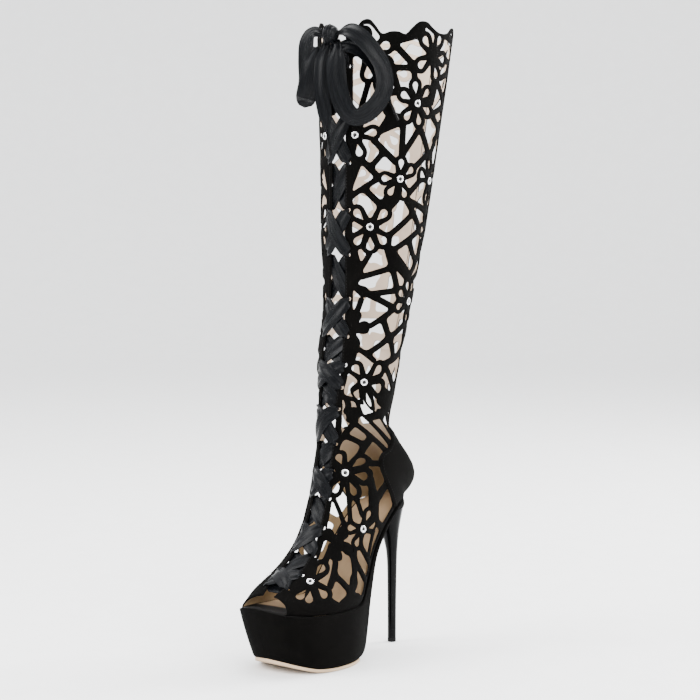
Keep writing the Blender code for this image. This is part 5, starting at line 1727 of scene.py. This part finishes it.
# %% [markdown]
# ## The zip
# The zip runs up the back between the two edges of the slit. Two rows of teeth are clamped on woven tape,
# half a pitch apart, and the slider parks at the collar with its pull hanging down. The teeth stay where
# they are, and the pull swings on the slider's arch.

# %% teeth and tape
TOOTH = (1.5, 0.75, 1.9)        # across, along, out
TOOTH_PITCH, TOOTH_ASIDE, TEETH_OUT = 1.5, 0.75, -0.1
TEETH_STEP = 2.0                        # spacing of the points that carry the teeth's lines
TAPE_HALF, TAPE_THICK, TAPE_BEHIND = 7.0, 0.5, 0.25
TAPE_STEP, TAPE_ACROSS = 4.0, 9         # spacing of its sections, and points across


def back_point(up, x, out):
    """A point beside the back seam: x millimetres to the outer side, `out` outside the leather."""
    place = (half_girth(up) / 2 - abs(x), up)
    return creased(np.array([place]), 1 if x >= 0 else -1, np.array([out]))[0]


def tooth_tree():
    """A small block at each step of the line, turned along it and to its facing."""
    tree, given, result = placing_tree("zip_teeth", {"Pitch": "Float", "Size": "Vector", "Metal": "Material"})
    along = aligned(tree, "Y", tangent_of(tree))
    turn = aligned(tree, "Z", facing_of(tree), "Y", Rotation=along)
    block = wired(tree, "GeometryNodeMeshCube", "Mesh", Size=given["Size"])
    feed(tree, result, Geometry=spread(tree, stepped(tree, given["Geometry"], given["Pitch"]), block,
                                       given["Metal"], turn))
    return tree


def make_teeth():
    lines, faces = [], []
    for aside, shift in ((TOOTH_ASIDE, 0.0), (-TOOTH_ASIDE, TOOTH_PITCH / 2)):
        ups = np.arange(ZIP_FOOT + 1 + shift, TOP - 10, TEETH_STEP)
        line = np.array([back_point(u, aside, TEETH_OUT) for u in ups])
        lines.append(line)
        faces.append(unit(np.array([back_point(u, aside, TEETH_OUT + 1) for u in ups]) - line))
    points, edges = chained(lines)
    made = grown("zip_teeth", marked("teeth_lines", points, np.vstack(faces), edges), tooth_tree(), {
        "Pitch": TOOTH_PITCH * MM, "Size": tuple(np.array(TOOTH) * MM), "Metal": GUNMETAL,
    }, 20.0)
    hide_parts("zip_chain")


def make_tape():
    """Woven tape behind the teeth, faced with lining on its inner side."""
    xs = np.linspace(TAPE_HALF, -TAPE_HALF, TAPE_ACROSS)
    rings = []
    for up in np.arange(ZIP_FOOT - 5, TOP - 6, TAPE_STEP):
        outer = [back_point(up, x, -WALL - TAPE_BEHIND) for x in xs]
        inner = [back_point(up, x, -WALL - TAPE_BEHIND - TAPE_THICK) for x in xs[::-1]]
        rings.append(np.array(outer + inner))
    flat = [(i * 2.0, k * TAPE_STEP) for k in range(len(rings)) for i in range(2 * TAPE_ACROSS)]
    ring_kinds = [0] * TAPE_ACROSS + [1] * (TAPE_ACROSS - 1) + [0]
    loft("zip_tape", rings, [TAPE, LINING], kinds=ring_kinds * (len(rings) - 1) + [0, 0], sheet_map=flat,
         slot="black_suede")


make_teeth()
make_tape()

# %% slider and pull
SLIDER_UP, SLIDER_GAP = 601.0, 0.8
SLIDER_ACROSS, SLIDER_TALL, SLIDER_PROUD = 6.8, 8.0, 3.0
ARCH_WIDTH, ARCH_BAR, ARCH_HALF, ARCH_ROOM = 1.6, 0.9, 2.0, 2.2
ARCH_ROOT = 0.6                         # how deep the arch is let into the slider
PULL_WIDTH, PULL_LENGTH, PULL_THICK, PULL_SLOT = 5.4, 21.0, 1.1, 3.4
PULL_HOLE, PULL_HOLE_DOWN = 1.1, 16.5   # radius of the hole near the pull's tip, and how far down it is


def plate(name, outline, holes, thick, edge, place, **more):
    """A flat plate with softened edges: outline in its own plane, `place` puts points in the boot."""
    outline, holes = anticlockwise(outline), [anticlockwise(hole) for hole in holes]
    flat, triangles, solid, _ = cut([outline], holes)
    triangles = orient(flat, triangles[solid])
    inset = np.vstack([shifted(outline, -edge)] + [shifted(hole, edge) for hole in holes])
    nearest = [int(np.argmin(np.linalg.norm(np.vstack([outline] + holes) - p, axis=1))) for p in flat]
    count = len(flat)
    layers = [inset[nearest], flat, flat, inset[nearest]]
    heights = (-thick / 2, edge - thick / 2, thick / 2 - edge, thick / 2)
    points = np.vstack([place(np.c_[layer, np.full(count, h)]) for layer, h in zip(layers, heights)])
    rim = rim_of(triangles)
    faces = [tuple(t[::-1]) for t in triangles] + [tuple(t + 3 * count) for t in triangles]
    for k in range(3):
        faces += [(a + k * count, b + k * count, b + (k + 1) * count, a + (k + 1) * count) for a, b in rim]
    return piece(name, points, faces, [GUNMETAL], slot="polished_metal", sharp=50.0, **more)


def rounded_box(across, tall, corner, parts=5):
    turns = np.linspace(0, math.pi / 2, parts)
    arc = np.stack([np.cos(turns), np.sin(turns)], -1) * corner
    corner_at = np.array([across / 2 - corner, tall / 2 - corner])
    quarter = arc + corner_at
    return np.vstack([quarter, (quarter * (-1, 1))[::-1], quarter * (-1, -1), (quarter * (1, -1))[::-1]])


def make_slider():
    seat = back_point(SLIDER_UP, 0, SLIDER_GAP)
    up = unit(back_point(SLIDER_UP + 4, 0, SLIDER_GAP) - seat)
    out = unit(back_point(SLIDER_UP, 0, SLIDER_GAP + 1) - seat)
    out = unit(out - up * (out @ up))
    across = np.cross(up, out)

    def body(local):
        return seat + local[:, :1] * across + local[:, 1:2] * up + (local[:, 2:] + SLIDER_PROUD / 2) * out

    outline = rounded_box(SLIDER_ACROSS, SLIDER_TALL, 1.6)
    outline[:, 0] *= 0.86 + 0.14 * soft_step(outline[:, 1], -SLIDER_TALL / 2, SLIDER_TALL / 4)
    slider = plate("slider", outline, [], SLIDER_PROUD, 0.5, body)

    turns = np.linspace(0, math.pi, 17)
    rise = ARCH_ROOM + ARCH_ROOT + ARCH_BAR / 2
    path = np.stack([-np.cos(turns) * (ARCH_HALF - ARCH_BAR / 2),
                     SLIDER_PROUD - ARCH_ROOT + np.sin(turns) ** 0.7 * rise], -1)
    way = unit(np.gradient(path, axis=0))
    side = np.stack([-way[:, 1], way[:, 0]], -1)
    rings = []
    for place, sideways in zip(path, side):
        ring = []
        for c, s in circle(12):
            along, outward = place + sideways * s * ARCH_BAR / 2
            ring.append(seat + across * c * ARCH_WIDTH / 2 + up * along + out * outward)
        rings.append(np.array(ring))
    loft("slider_arch", rings, [GUNMETAL], slot="polished_metal")
    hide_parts("zip_slider")
    return seat + out * (SLIDER_PROUD + ARCH_ROOM / 2)


def make_pull(axis):
    def hanging(local):
        return axis + np.stack([local[:, 0], local[:, 2], local[:, 1]], -1)

    middle = (PULL_THICK - PULL_LENGTH) / 2
    outline = rounded_box(PULL_WIDTH, PULL_LENGTH, 2.0, 7) + (0, middle)
    outline[:, 0] *= 0.8 + 0.2 * soft_step(-outline[:, 1], 2, 14)
    slot = rounded_box(ARCH_WIDTH + 1.0, PULL_SLOT, 0.8, 4) + (0, -(PULL_THICK + PULL_SLOT) / 2)
    hole = np.array(circle(20, PULL_HOLE)) - (0, PULL_HOLE_DOWN)
    made = plate("pull", outline, [slot, hole], PULL_THICK, 0.28, hanging, body=PULL)
    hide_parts("zip_pull")


make_pull(make_slider())
